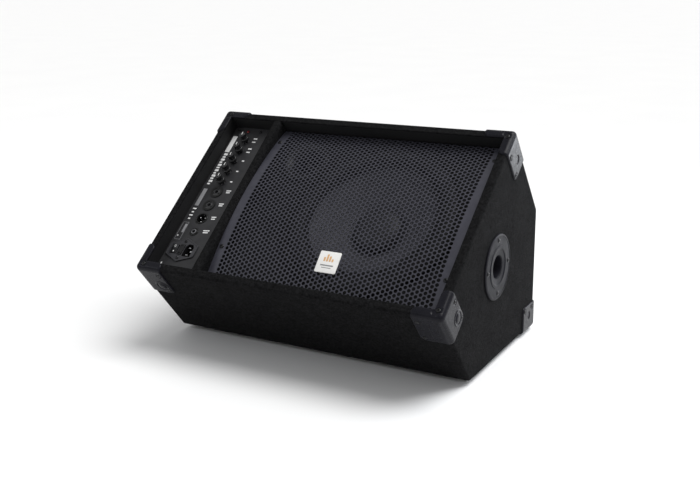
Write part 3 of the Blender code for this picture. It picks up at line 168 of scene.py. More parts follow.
class Effects:
    """Shader node groups that several finishes share, each made once."""

    def __init__(self) -> None:
        """Start with no groups."""
        self.made: dict[str, bpy.types.NodeTree] = {}

    def group(
        self, name: str, fill: Callable, values: Sequence[str], results: Sequence[str]
    ) -> bpy.types.NodeTree:
        """Return a group, making it on first use.

        Args:
            name: The group's name.
            fill: Called with the group's graph and input sockets; returns one socket per result.
            values: Names of its number inputs, after Vector.
            results: Names of its outputs.

        Returns:
            The node group.
        """
        if name in self.made:
            return self.made[name]
        tree = bpy.data.node_groups.new(name, "ShaderNodeTree")
        tree.interface.new_socket("Vector", in_out="INPUT", socket_type="NodeSocketVector")
        for value in values:
            tree.interface.new_socket(value, in_out="INPUT", socket_type="NodeSocketFloat")
        for result in results:
            tree.interface.new_socket(result, in_out="OUTPUT", socket_type="NodeSocketFloat")
        graph = Graph(tree)
        inside = graph.add("NodeGroupInput").outputs
        outside = graph.add("NodeGroupOutput")
        for name_out, socket in zip(results, fill(graph, inside), strict=True):
            graph.feed(outside.inputs[name_out], socket)
        self.made[name] = tree
        return tree

    def use(self, graph: Graph, kind: str, vector: object, **values: object) -> bpy.types.Node:
        """Place one of the groups in a material.

        Args:
            graph: The material's graph.
            kind: Name of one of the groups.
            vector: The surface coordinates.
            values: The group's number inputs, by name.

        Returns:
            The group node.
        """
        masks = {"Edge Wear": (self.edge_wear, ("Reach", "Scale")), "Dust": (self.dust, ("Amount", "Scale"))}
        if kind in masks:
            tree = self.group(kind, *masks[kind], ("Mask",))
        else:
            tree = self.group(kind, getattr(self, kind.lower()), ("Scale",), ("Tint", "Height"))
        return graph.add("ShaderNodeGroup", {"Vector": vector, **values}, node_tree=tree)

    @staticmethod
    def edge_wear(graph: Graph, inside: Sequence) -> tuple:
        """Rubbed edges: where the surface turns sharply, broken up by noise."""
        convex = graph.spread(graph.add("ShaderNodeNewGeometry").outputs["Pointiness"], 0.505, 0.56)
        patchy = graph.noise(inside[0], inside[2], 5.0, 0.4)
        worn = graph.plus(graph.times(convex, inside[1]), graph.math("SUBTRACT", patchy, 1.0))
        return (graph.spread(worn, 0.0, 0.18),)

    @staticmethod
    def dust(graph: Graph, inside: Sequence) -> tuple:
        """Dust that settles on faces that look up."""
        normal = graph.add("ShaderNodeNewGeometry").outputs["Normal"]
        up = graph.spread(graph.add("ShaderNodeSeparateXYZ", {0: normal}).outputs[2], 0.2, 1.0)
        cloud = graph.spread(graph.noise(inside[0], inside[2], 6.0), 0.35, 0.75)
        return (graph.times(graph.times(up, cloud), inside[1]),)

    @staticmethod
    def grain(graph: Graph, inside: Sequence) -> tuple:
        """Fine moulded or sprayed grain, with slow clouding."""
        fine = graph.noise(inside[0], inside[1], 2.0)
        pores = graph.noise(inside[0], graph.times(inside[1], 2.6), 1.0)
        cloud = graph.noise(inside[0], graph.times(inside[1], 0.03), 4.0)
        return graph.spread(cloud, 0.3, 0.7), graph.plus(fine, graph.times(pores, 0.5))

    @staticmethod
    def felt(graph: Graph, inside: Sequence) -> tuple:
        """Needled fibres: three tangles of stretched strands over soft lumps."""
        strands = []
        for lengths, turn in (((1.0, 0.22, 0.5), 0.6), ((0.24, 1.0, 0.7), 2.3), ((0.5, 0.6, 0.2), 1.4)):
            turned = graph.add("ShaderNodeMapping", {"Vector": inside[0], "Rotation": (turn, turn, turn)})
            along = graph.stretched(turned.outputs[0], lengths)
            strands.append(graph.spread(graph.noise(along, inside[1], 2.0, 2.4), 0.35, 0.7))
        tangle = graph.math("MAXIMUM", graph.math("MAXIMUM", strands[0], strands[1]), strands[2])
        lumps = graph.noise(inside[0], graph.times(inside[1], 0.4), 4.0, 0.6)
        height = graph.plus(graph.times(tangle, 0.6), lumps)
        cloud = graph.noise(inside[0], graph.times(inside[1], 0.012), 3.0)
        return graph.times(graph.spread(height, 0.6, 1.3), graph.spread(cloud, 0.3, 0.7, 0.88, 1.0)), height

    @staticmethod
    def weave(graph: Graph, inside: Sequence) -> tuple:
        """Plain weave: threads that pass over and under each other."""
        scaled = graph.add("ShaderNodeVectorMath", {0: inside[0], "Scale": inside[1]}, operation="SCALE")
        parts = graph.add("ShaderNodeSeparateXYZ", {0: scaled.outputs[0]})
        waves = [graph.math("SINE", parts.outputs[axis], 0.0) for axis in range(3)]
        crossed = graph.times(waves[0], waves[1])
        height = graph.spread(graph.plus(crossed, graph.times(waves[2], 0.3)), -1.2, 1.2)
        return graph.times(height, graph.noise(inside[0], inside[1], 2.0)), height

    @staticmethod
    def brushed(graph: Graph, inside: Sequence) -> tuple:
        """Long fine scratches that run along x."""
        lines = graph.noise(graph.stretched(inside[0], (0.04, 1.0, 1.0)), inside[1], 3.0)
        stain = graph.noise(inside[0], graph.times(inside[1], 0.02), 4.0)
        return graph.spread(stain, 0.3, 0.7), lines

    @staticmethod
    def timber(graph: Graph, inside: Sequence) -> tuple:
        """Veneer figure that runs along x."""
        figure = graph.noise(graph.stretched(inside[0], (0.06, 1.0, 1.0)), inside[1], 5.0, 1.2)
        pores = graph.noise(graph.stretched(inside[0], (0.03, 1.0, 1.0)), graph.times(inside[1], 9.0))
        shade = graph.plus(graph.spread(figure, 0.3, 0.7, 0.0, 0.7), graph.spread(pores, 0.55, 0.8, 0.0, 0.3))
        return shade, pores


EFFECTS = Effects()


@dataclass(frozen=True)
class Finish:
    """A surface finish, worked from two drifting colours, fine relief, wear and dust."""

    name: str
    slot: str
    colour: Colour
    mottle: Colour
    roughness: float
    drift: float = 0.06
    metallic: float = 0.0
    pattern: Pattern = Pattern.GRAIN
    scale: float = 900.0
    depth: float = 0.00006
    wear: float = 0.0
    worn: Colour = (0.30, 0.30, 0.32)
    dust: float = 0.02
    coat: float = 0.0
    glow: float = 0.0
    specular: float = 0.35

    def colours(self, graph: Graph, vector: object, tint: object) -> Socket:
        """Return the base colour before wear and dust."""
        return graph.blend(tint, self.colour, self.mottle)

    def build(self) -> bpy.types.Material:
        """Make the material.

        Returns:
            The material, with its nodes in place.
        """
        material = bpy.data.materials.new(self.name)
        material.use_nodes = True
        graph = Graph(material.node_tree)
        shader = material.node_tree.nodes["Principled BSDF"]
        vector = graph.coordinates()
        relief = EFFECTS.use(graph, self.pattern.value.title(), vector, Scale=self.scale)
        colour = self.colours(graph, vector, relief.outputs["Tint"])
        if self.wear:
            mask = EFFECTS.use(graph, "Edge Wear", vector, Reach=self.wear, Scale=260.0)
            colour = graph.blend(mask.outputs["Mask"], colour, self.worn)
        if self.dust:
            mask = EFFECTS.use(graph, "Dust", vector, Amount=self.dust, Scale=70.0)
            colour = graph.blend(mask.outputs["Mask"], colour, (0.42, 0.40, 0.37))
        patches = graph.noise(vector, self.scale * 0.05, 4.0)
        rough = graph.spread(patches, 0.3, 0.7, self.roughness - self.drift, self.roughness + self.drift)
        bump = graph.add("ShaderNodeBump", {"Height": relief.outputs["Height"], "Distance": self.depth})
        values = {
            "Base Color": colour,
            "Roughness": rough,
            "Normal": bump.outputs[0],
            "Metallic": self.metallic,
            "Coat Weight": self.coat,
            "Specular IOR Level": self.specular,
        }
        for name, value in values.items():
            graph.feed(shader.inputs[name], value)
        if self.glow:
            shader.inputs["Emission Color"].default_value = (*self.colour, 1.0)
            shader.inputs["Emission Strength"].default_value = self.glow
        return material


@dataclass(frozen=True)
class PaintedPly(Finish):
    """Raw plywood inside, sprayed black where it shows at the front of the cabinet."""

    normal: tuple[float, float, float] = (0.0, 0.0, 1.0)
    paint_line: float = 0.0
    ragged: float = 0.004
    fade: float = 0.003
    paint: Colour = (0.004, 0.004, 0.0045)

    def colours(self, graph: Graph, vector: object, tint: object) -> Socket:
        """Return the veneer's colour, painted past a line along the normal."""
        along = graph.add("ShaderNodeVectorMath", {0: vector, 1: self.normal}, operation="DOT_PRODUCT")
        edge = graph.plus(along.outputs["Value"], graph.times(graph.noise(vector, 120.0, 4.0), self.ragged))
        painted = graph.spread(edge, self.paint_line, self.paint_line + self.fade)
        return graph.blend(painted, super().colours(graph, vector, tint), self.paint)


class Wardrobe:
    """Every finish by name, each made into a material on first use."""

    def __init__(self, finishes: Iterable[Finish]) -> None:
        """Keep the finishes."""
        self.finishes = {finish.name: finish for finish in finishes}
        self.made: dict[str, bpy.types.Material] = {}

    def material(self, name: str) -> bpy.types.Material:
        """Return the material of that finish."""
        if name not in self.made:
            self.made[name] = self.finishes[name].build()
        return self.made[name]

    def slot(self, name: str) -> str:
        """Return the record's slot that the finish belongs to."""
        return self.finishes[name].slot


def arc(centre: tuple[float, float], radius: float, start: float, end: float, steps: int) -> list:
    """Return points along an arc, with its angles in degrees."""
    angles = [math.radians(start + (end - start) * step / steps) for step in range(steps + 1)]
    return [(centre[0] + radius * math.cos(angle), centre[1] + radius * math.sin(angle)) for angle in angles]


def on_circle(count: int, radius: float, first: float = 0.0) -> list:
    """Return points evenly spaced round the origin, the first at an angle in degrees."""
    angles = [math.radians(first) + math.tau * index / count for index in range(count)]
    return [(radius * math.cos(angle), radius * math.sin(angle)) for angle in angles]


def rectangle(across: float, up: float) -> list:
    """Return a rectangle about the origin from half its sides, counter-clockwise."""
    return [(-across, -up), (across, -up), (across, up), (-across, up)]


def rounded_rectangle(width: float, height: float, radius: float, steps: int = 6) -> list:
    """Return a rounded rectangle about the origin, counter-clockwise."""
    across, up = width / 2 - radius, height / 2 - radius
    corners = ((across, up, 0), (-across, up, 90), (-across, -up, 180), (across, -up, 270))
    return [point for x, y, turn in corners for point in arc((x, y), radius, turn, turn + 90, steps)]


def revolve(profile: Outline, segments: int = 64, ripple: Callable | None = None) -> Shape:
    """Turn a closed profile about z.

    Args:
        profile: (radius, height) points, closed onto its first.
        segments: Steps round the circle.
        ripple: Optional function of (angle, radius, height) that returns a new radius.

    Returns:
        Points and faces.
    """
    points = []
    for step in range(segments):
        angle = math.tau * step / segments
        for radius, height in profile:
            reach = ripple(angle, radius, height) if ripple else radius
            points.append((reach * math.cos(angle), reach * math.sin(angle), height))
    count = len(profile)
    faces = []
    for step in range(segments):
        here, there = step * count, (step + 1) % segments * count
        for index in range(count):
            after = (index + 1) % count
            faces.append((here + index, there + index, there + after, here + after))
    return np.array(points), faces


def loft(rings: Sequence[np.ndarray], closed: bool = False) -> Shape:
    """Skin rings of points that have the same count.

    Args:
        rings: Rings of 3-D points, each a closed loop.
        closed: Whether the last ring joins the first; otherwise both ends get a cap.

    Returns:
        Points and faces.
    """
    count = len(rings[0])
    points = np.concatenate([np.asarray(ring, float) for ring in rings])
    faces: list[tuple[int, ...]] = []
    for level in range(len(rings) if closed else len(rings) - 1):
        low, high = level * count, (level + 1) % len(rings) * count
        for index in range(count):
            after = (index + 1) % count
            faces.append((low + index, low + after, high + after, high + index))
    if not closed:
        faces.append(tuple(range(count))[::-1])
        faces.append(tuple(range(len(points) - count, len(points))))
    return points, faces


def at_height(outline: Outline, height: float) -> np.ndarray:
    """Return a flat outline as 3-D points at one height."""
    return np.array([(x, y, height) for x, y in outline])


def plate(outline: Callable[[float], list], low: float, high: float, edge: float, steps: int = 3) -> Shape:
    """A flat plate whose upper edge is rounded.

    Args:
        outline: Function that returns the outline moved inwards by a distance.
        low: Height of the underside.
        high: Height of the top.
        edge: Radius of the rounded upper edge.
        steps: Steps of the rounding.

    Returns:
        Points and faces.
    """
    rings = [at_height(outline(0.0), low)]
    for step in range(steps + 1):
        angle = math.pi / 2 * step / steps
        inset, rise = edge * (1 - math.cos(angle)), edge * math.sin(angle)
        rings.append(at_height(outline(inset), high - edge + rise))
    return loft(rings)


def rounded_plate(width: float, height: float, corner: float, low: float, high: float, edge: float) -> Shape:
    """A plate with a rounded-rectangle outline and a rounded upper edge."""

    def outline(inset: float) -> list:
        """Return the outline, moved inwards."""
        return rounded_rectangle(width - 2 * inset, height - 2 * inset, corner - inset)

    return plate(outline, low, high, edge)


def moved(shape: Shape, matrix: Matrix) -> Shape:
    """Return the shape with its points transformed."""
    turned = np.array(matrix)
    return shape[0] @ turned[:3, :3].T + turned[:3, 3], shape[1]


def shifted(shape: Shape, x: float, y: float, z: float = 0.0) -> Shape:
    """Return the shape moved by a vector."""
    return shape[0] + np.array((x, y, z)), shape[1]


def merged(shapes: Iterable[Shape]) -> Shape:
    """Return several shapes as one."""
    points, faces, start = [], [], 0
    for cloud, sides in shapes:
        points.append(cloud)
        faces += [tuple(corner + start for corner in side) for side in sides]
        start += len(cloud)
    return np.concatenate(points), faces


def mesh_of(name: str, shape: Shape, weld: float = 1e-7) -> bpy.types.Mesh:
    """Make mesh data with doubled points joined and faces that point out.

    Args:
        name: The mesh's name.
        shape: Points and faces.
        weld: Distance under which points become one.

    Returns:
        The mesh.
    """
    mesh = bpy.data.meshes.new(name)
    mesh.from_pydata(shape[0].tolist(), [], shape[1])
    built = bmesh.new()
    built.from_mesh(mesh)
    bmesh.ops.remove_doubles(built, verts=built.verts, dist=weld)
    bmesh.ops.dissolve_degenerate(built, dist=weld, edges=built.edges)
    bmesh.ops.recalc_face_normals(built, faces=built.faces)
    built.to_mesh(mesh)
    built.free()
    return mesh


def carve(mesh: bpy.types.Mesh, tools: Iterable[Shape], operation: str = "DIFFERENCE") -> bpy.types.Mesh:
    """Cut shapes from a mesh, or join them to it.

    Args:
        mesh: The mesh that is worked on.
        tools: Closed shapes.
        operation: A Boolean modifier's operation.

    Returns:
        The new mesh.
    """
    work = bpy.data.objects.new("work", mesh)
    bpy.context.scene.collection.objects.link(work)
    helpers = []
    for tool in tools:
        helper = bpy.data.objects.new("tool", mesh_of("tool", tool))
        bpy.context.scene.collection.objects.link(helper)
        modifier = work.modifiers.new("cut", "BOOLEAN")
        modifier.object, modifier.operation, modifier.solver = helper, operation, "EXACT"
        helpers.append(helper)
    bpy.context.view_layer.update()
    cut = bpy.data.meshes.new_from_object(work.evaluated_get(bpy.context.evaluated_depsgraph_get()))
    cut.name = mesh.name
    for used in [work, *helpers]:
        bpy.data.objects.remove(used, do_unlink=True)
    return cut


class Workshop:
    """Makes finished pieces out of meshes and keeps count of them."""

    def __init__(self, wardrobe: Wardrobe) -> None:
        """Keep the finishes."""
        self.wardrobe = wardrobe
        self.pieces: list[str] = []

    def piece(
        self,
        name: str,
        mesh: bpy.types.Mesh,
        finish: str,
        place: Matrix = WORLD,
        body: str = CABINET,
        stands_for: Sequence[str] = (),
        sharp: float = 35.0,
    ) -> bpy.types.Object:
        """Put a mesh in place as a piece of the monitor.

        Args:
            name: The piece's name.
            mesh: Its mesh, in the frame of place.
            finish: Name of its finish.
            place: Its place in the world.
            body: The body that it moves with.
            stands_for: Solid nodes that it replaces.
            sharp: Angle in degrees over which an edge stays sharp.

        Returns:
            The object.
        """
        mesh.materials.clear()
        mesh.materials.append(self.wardrobe.material(finish))
        mesh.shade_smooth()
        mesh.set_sharp_from_angle(angle=math.radians(sharp))
        made = bpy.data.objects.new(name, mesh)
        bpy.context.scene.collection.objects.link(made)
        made.matrix_world = place
        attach(made, body)
        self.wardrobe.slot(finish)
        if stands_for:
            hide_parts(*stands_for)
        self.pieces.append(name)
        LOG.info("%s: %d faces, rides on %s", name, len(mesh.polygons), body)
        return made

    def shape(
        self, name: str, shape: Shape, finish: str, place: Matrix = WORLD, **options: object
    ) -> bpy.types.Object:
        """Put a shape in place as a piece, with piece()'s options."""
        return self.piece(name, mesh_of(name, shape), finish, place, **options)

    def dress(self, node: str, finish: str, soften: float = 0.0) -> None:
        """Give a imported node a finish, and a slightly broken edge if it is seen close.

        Args:
            node: The node's name.
            finish: Name of its finish.
            soften: Width of the broken edge, or 0 for none.
        """
        obj = frame["nodes"][node]
        obj.data.materials.clear()
        obj.data.materials.append(self.wardrobe.material(finish))
        if soften:
            edge = obj.modifiers.new("broken edge", "BEVEL")
            edge.width, edge.segments, edge.limit_method = soften, 3, "ANGLE"
            edge.angle_limit = math.radians(40)
        LOG.info("%s: packed node, dressed in %s", node, finish)


def soften(piece: bpy.types.Object, width: float, segments: int = 3, angle: float = 40.0) -> bpy.types.Object:
    """Round a piece's sharp edges and even out its shading.

    Args:
        piece: The object.
        width: Radius of the rounding.
        segments: Steps of the rounding.
        angle: Edges flatter than this many degrees stay as they are.

    Returns:
        The same object.
    """
    edge = piece.modifiers.new("rounding", "BEVEL")
    edge.width, edge.segments, edge.limit_method = width, segments, "ANGLE"
    edge.angle_limit = math.radians(angle)
    edge.use_clamp_overlap = True
    piece.modifiers.new("even shading", "WEIGHTED_NORMAL").keep_sharp = False
    return piece


def vertices(node: str) -> list[Vector]:
    """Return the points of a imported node."""
    return [vertex.co for vertex in frame["nodes"][node].data.vertices]


def middle_of(node: str) -> tuple[Vector, Vector, Vector]:
    """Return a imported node's lowest corner, highest corner and middle."""
    low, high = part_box(node)
    return low, high, (low + high) / 2


def inner_radius(node: str, axis: Matrix) -> float:
    """Return the smallest distance between a turned node and its axis."""
    back = axis.inverted()
    return min(math.hypot(*(back @ point).xy) for point in vertices(node))


class Wedge:
    """Places on the cabinet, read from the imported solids."""

    def __init__(self) -> None:
        """Find the five edges of the side outline, and the front and cabinet frames."""
        left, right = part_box("carpet_left"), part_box("carpet_right")
        self.middle = (left[0].x + right[1].x) / 2
        self.half = (right[1].x - left[0].x) / 2
        corners = [point.yz for point in vertices("carpet_right")]
        floor = min(point.y for point in corners)
        back = max(point.x for point in corners)
        self.kick_edge = min(corners, key=lambda point: point.x)
        self.peak = max(corners, key=lambda point: point.y)
        self.foot = min((point for point in corners if point.y < floor + MILLI), key=lambda point: point.x)
        self.heel = Vector((back, floor))
        self.bend = max((point for point in corners if point.x > back - MILLI), key=lambda point: point.y)
        self.slant = (self.peak - self.kick_edge).length
        up = (self.peak - self.kick_edge) / self.slant
        self.normal = Vector((0.0, -up.y, up.x))
        self.front = Matrix(
            (
                (1, 0, 0, self.middle),
                (0, up.x, -up.y, self.kick_edge.x),
                (0, up.y, up.x, self.kick_edge.y),
                (0, 0, 0, 1),
            )
        )
        self.inverse = self.front.inverted()
        low, high = self.on_front("side_right")
        self.board = high.x - low.x
        self.rim = self.half - low.x

    def on_front(self, node: str) -> tuple[Vector, Vector]:
        """Return a node's lowest and highest corner in the front frame."""
        points = np.array([self.inverse @ point for point in vertices(node)])
        return Vector(points.min(0)), Vector(points.max(0))

    def centre(self, node: str) -> Vector:
        """Return the middle of a node in the front frame."""
        low, high = self.on_front(node)
        return (low + high) / 2

    def at(self, x: float, y: float, z: float = 0.0) -> Matrix:
        """Return the front frame moved to a point in it."""
        return self.front @ Matrix.Translation((x, y, z))

    def outline(self) -> list[Vector]:
        """Return the side outline as (y, z) points from the front bottom edge."""
        return [self.foot, self.heel, self.bend, self.peak, self.kick_edge]


def screw_shape(radius: float, height: float) -> Shape:
    """A pan head with a cross recess, its seat at height 0.

    Args:
        radius: Radius of the head.
        height: Height of the head.

    Returns:
        Points and faces.
    """
    foot, side = -0.4 * height, 0.35
    angles = np.linspace(0.0, math.pi / 2, 7)[:-1]
    crown = [(radius * math.cos(angle), height * (side + (1 - side) * math.sin(angle))) for angle in angles]
    head = mesh_of("head", revolve([(0, foot), (radius, foot), (radius, 0), *crown, (0, height)], 28))
    arm, blade = radius * 0.55, radius * 0.13
    tools = []
    for long, short in ((arm, blade), (blade, arm)):
        floor = at_height(rectangle(long / 2, short / 2), height * 0.15)
        tools.append(loft([floor, at_height(rectangle(long, short), height * 1.2)]))
    cut = carve(head, tools)
    points = np.array([tuple(v.co) for v in cut.vertices])
    return points, [tuple(face.vertices) for face in cut.polygons]


class Screws:
    """Places cross-head screws, all from one head."""

    def __init__(self) -> None:
        """Make the unit head."""
        self.unit = screw_shape(1.0, 0.55)

    def at(self, place: Matrix, radius: float, turn: float) -> Shape:
        """Return one head of a radius, turned by some degrees about its own axis."""
        sized = (self.unit[0] * radius, self.unit[1])
        return moved(sized, place @ Matrix.Rotation(math.radians(turn), 4, "Z"))


def pulled_in(outline: Sequence[Vector], distances: Sequence[float]) -> list[Vector]:
    """Return a convex outline with each side moved inwards by its own distance.

    Args:
        outline: Points, counter-clockwise.
        distances: One for the side after each point.

    Returns:
        The new points.
    """
    lines = []
    for index, distance in enumerate(distances):
        start = outline[index]
        along = (outline[(index + 1) % len(outline)] - start).normalized()
        lines.append((start + distance * Vector((-along.y, along.x)), along))
    points = []
    for index, (other, across) in enumerate(lines):
        start, along = lines[index - 1]
        step = (other - start).cross(across) / along.cross(across)
        points.append(start + step * along)
    return points


def filleted(outline: Sequence[Vector], radii: Sequence[float], steps: int = 6) -> list[Vector]:
    """Return a convex outline with its corners rounded.

    Args:
        outline: Points, counter-clockwise.
        radii: One for each point.
        steps: Steps of each rounding.

    Returns:
        The points of the rounded outline.
    """
    points = []
    for index, (corner, radius) in enumerate(zip(outline, radii, strict=True)):
        before = (outline[index - 1] - corner).normalized()
        after = (outline[(index + 1) % len(outline)] - corner).normalized()
        half = before.angle(after) / 2
        centre = corner + (before + after).normalized() * (radius / math.sin(half))
        reach = radius / math.tan(half)
        start = corner + before * reach - centre
        turn = math.pi - 2 * half
        for step in range(steps + 1):
            angle = turn * step / steps
            cos, sin = math.cos(angle), math.sin(angle)
            points.append(centre + Vector((start.x * cos - start.y * sin, start.x * sin + start.y * cos)))
    return points


def box_shape(low: Sequence[float], high: Sequence[float]) -> Shape:
    """Return an axis-aligned box."""
    outline = [(low[0], low[1]), (high[0], low[1]), (high[0], high[1]), (low[0], high[1])]
    return loft([at_height(outline, low[2]), at_height(outline, high[2])])


def rod_shape(radius: float, low: float, high: float, segments: int = 24, dome: float = 0.0) -> Shape:
    """Return a round rod on z, with its upper end rounded by a radius."""
    top = arc((radius - dome, high - dome), dome, 0, 90, 4) if dome else [(radius, high)]
    return revolve([(0, low), (radius, low), *top, (0, high)], segments)


def with_axes(axes: Sequence[Vector], origin: Sequence[float]) -> Matrix:
    """Return a frame from its three axes and its origin."""
    return Matrix((*([*row] for row in zip(*axes, origin, strict=True)), (0, 0, 0, 1)))


def facing(origin: Sequence[float], outward: Vector, across: Vector) -> Matrix:
    """Return a frame whose z points outward and whose x lies along across."""
    return with_axes((across, outward.cross(across), outward), origin)


def rounded_ring(outline: Sequence[Vector], inset: float, radius: float, height: float) -> np.ndarray:
    """Return a convex outline as a ring at a height, moved inwards and with its corners rounded."""
    sides = len(outline)
    return at_height(filleted(pulled_in(outline, [inset] * sides), [radius] * sides, 4), height)


@dataclass
class SubAssembly:
    """Pieces that are built and dressed together."""

    wedge: Wedge
    shop: Workshop
    screws: Screws

    def fix(self, name: str, seats: Sequence[Matrix], radius: float, place: Matrix = WORLD) -> None:
        """Add a set of screw heads as one piece, each turned further than the last.

        Args:
            name: The piece's name.
            seats: Each head's seat, in the frame of place.
            radius: Radius of the heads.
            place: The frame that the seats are given in.
        """
        heads = [self.screws.at(seat, radius, 37.0 * index) for index, seat in enumerate(seats)]
        self.shop.shape(name, merged(heads), "screw steel", place, sharp=30.0)

    def fix_round(self, name: str, count: int, radius: float, place: Matrix, spot: tuple) -> None:
        """Add a ring of screw heads about the z of a frame.

        Args:
            name: The piece's name.
            count: How many heads.
            radius: Radius of the heads.
            place: The frame.
            spot: Radius of the ring, its height, and the angle in degrees of its first head.
        """
        reach, height, first = spot
        seats = [Matrix.Translation((x, y, height)) for x, y in on_circle(count, reach, first)]
        self.fix(name, seats, radius, place)


@dataclass
class Cabinet(SubAssembly):
    """Plywood boards, the baffle, and the carpet glued round them and turned over the rim."""

    edge: float = 0.0048
    soft_edge: float = 0.013
    thick: float = 0.0019
    lip: float = 0.0016
    divider_round: float = 0.006
    lead_hole: float = 0.006
    bore_share: float = 0.3
    steps: int = 5

    def stations(self) -> list[tuple[int, float, float]]:
        """Return the steps over two rounded edges, left then right.

        Returns:
            Of each step: -1 or 1 for its side, and how far it lies inwards of the outline and of the side face,
            as shares of the radius.
        """
        found = []
        for side in (-1, 1):
            for step in range(self.steps + 1):
                angle = math.pi / 2 * (step / self.steps if side > 0 else 1 - step / self.steps)
                found.append((side, 1 - math.cos(angle), 1 - math.sin(angle)))
        return found

    def skin(self, inset: float, edge: float, half: float) -> Shape:
        """Return the cabinet's whole outer form, rounded along every edge.

        Args:
            inset: How far inside the outline its faces lie.
            edge: Radius along the two side faces.
            half: Half of its width.

        Returns:
            Points and faces.
        """
        outline = self.wedge.outline()
        radii = [self.soft_edge, self.edge, self.soft_edge, self.edge, self.edge]
        rings = []
        for side, inwards, back in self.stations():
            pull = inset + edge * inwards
            x = self.wedge.middle + side * (half - edge * back)
            section = filleted(pulled_in(outline, [pull] * 5), [max(r - pull, MILLI / 5) for r in radii])
            rings.append(np.array([(x, point.x, point.y) for point in section]))
        return loft(rings)

    def mouth(self) -> Shape:
        """Return a cutter for the front opening, flared where the carpet turns over the rim."""
        wedge = self.wedge
        width, height = wedge.half - wedge.rim, wedge.slant / 2 - wedge.rim
        levels = [(0.0, -wedge.board)]
        for step in range(self.steps + 1):
            z = -self.lip * (1 - step / self.steps)
            levels.append((self.lip - math.sqrt(self.lip**2 - (z + self.lip) ** 2), z))
        levels.append((self.lip, wedge.board))
        rings = []
        for grow, z in levels:
            rings.append(at_height(rounded_rectangle(2 * (width + grow), 2 * (height + grow), MILLI), z))
        return moved(loft(rings), wedge.at(0, wedge.slant / 2))

    def build_carpet(self) -> None:
        """Shape the carpet as one sheet with soft edges, cut out for the front, handle and socket."""
        wedge = self.wedge
        outer = mesh_of("carpet", self.skin(0.0, self.edge, wedge.half))
        core = self.skin(self.thick, self.edge - self.thick, wedge.half - self.thick)
        low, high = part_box("carry_handle")
        overlap = Vector((self.soft_edge, 0, self.soft_edge))
        hole = box_shape(low + overlap, high - overlap)
        low, high, middle = middle_of("pole_socket")
        bore = rod_shape((high.z - low.z) * self.bore_share, -wedge.board, wedge.board, 48)
        turn = facing((wedge.middle + wedge.half, middle.y, middle.z), X_AXIS, Y_AXIS)
        cut = carve(outer, [core, self.mouth(), hole, moved(bore, turn)])
        nodes = ("carpet_wrap", "carpet_left", "carpet_right")
        self.shop.piece("carpet", cut, "carpet", stands_for=nodes, sharp=45.0)

    def build_divider(self) -> None:
        """Shape the carpeted divider, round along its front edge and bored for the two leads."""
        wedge = self.wedge
        low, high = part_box("bay_divider")
        rings = []
        for side, inwards, back in self.stations():
            across = (low.x if side < 0 else high.x) - side * self.divider_round * back
            distances = [wedge.rim, wedge.rim, wedge.rim, self.divider_round * inwards, wedge.rim]
            section = pulled_in(wedge.outline(), distances)
            rings.append(np.array([(across, point.x, point.y) for point in section]))
        bores = []
        for lead in ("woofer_lead", "tweeter_lead"):
            points = [point for point in vertices(lead) if low.x - self.lead_hole < point.x < high.x]
            centre = sum(points, Vector()) / len(points)
            bore = rod_shape(self.lead_hole, -2 * wedge.board, 2 * wedge.board)
            bores.append(moved(bore, facing(centre, X_AXIS, Y_AXIS)))
        divider = carve(mesh_of("divider", loft(rings)), bores)
        self.shop.piece("divider_carpet", divider, "carpet", stands_for=("bay_divider",))

    def build(self) -> None:
        """Build the carpet and dress the boards."""
        self.build_carpet()
        self.build_divider()
        for board in ("side_left", "side_right", "top_board", "kick_board", "bottom_board", "rear_board"):
            self.shop.dress(board, "plywood")
        self.shop.dress("baffle", "baffle paint", MILLI / 2)
        for batten in ("grille_batten_left", "grille_batten_right"):
            self.shop.dress(batten, "batten paint", MILLI / 2)


class Relief(Enum):
    """A raised or sunk feature of a corner guard."""

    SEAT = "screw seat"
    DOME = "stacking dome"
    DIMPLE = "stacking dimple"
    RIDGE = "raised ridge"


class Band(Enum):
    """Stretch of a guard from its lip, over the bent edge, down its walls."""

    LIP = "lip"
    EDGE = "bent edge"
    WALL = "wall"


@dataclass(frozen=True)
class Feature:
    """One feature of a guard: its wall (0 for +y, 1 for +x, 2 for +z) and its place along and across it."""

    kind: Relief
    wall: int
    along: float
    across: float


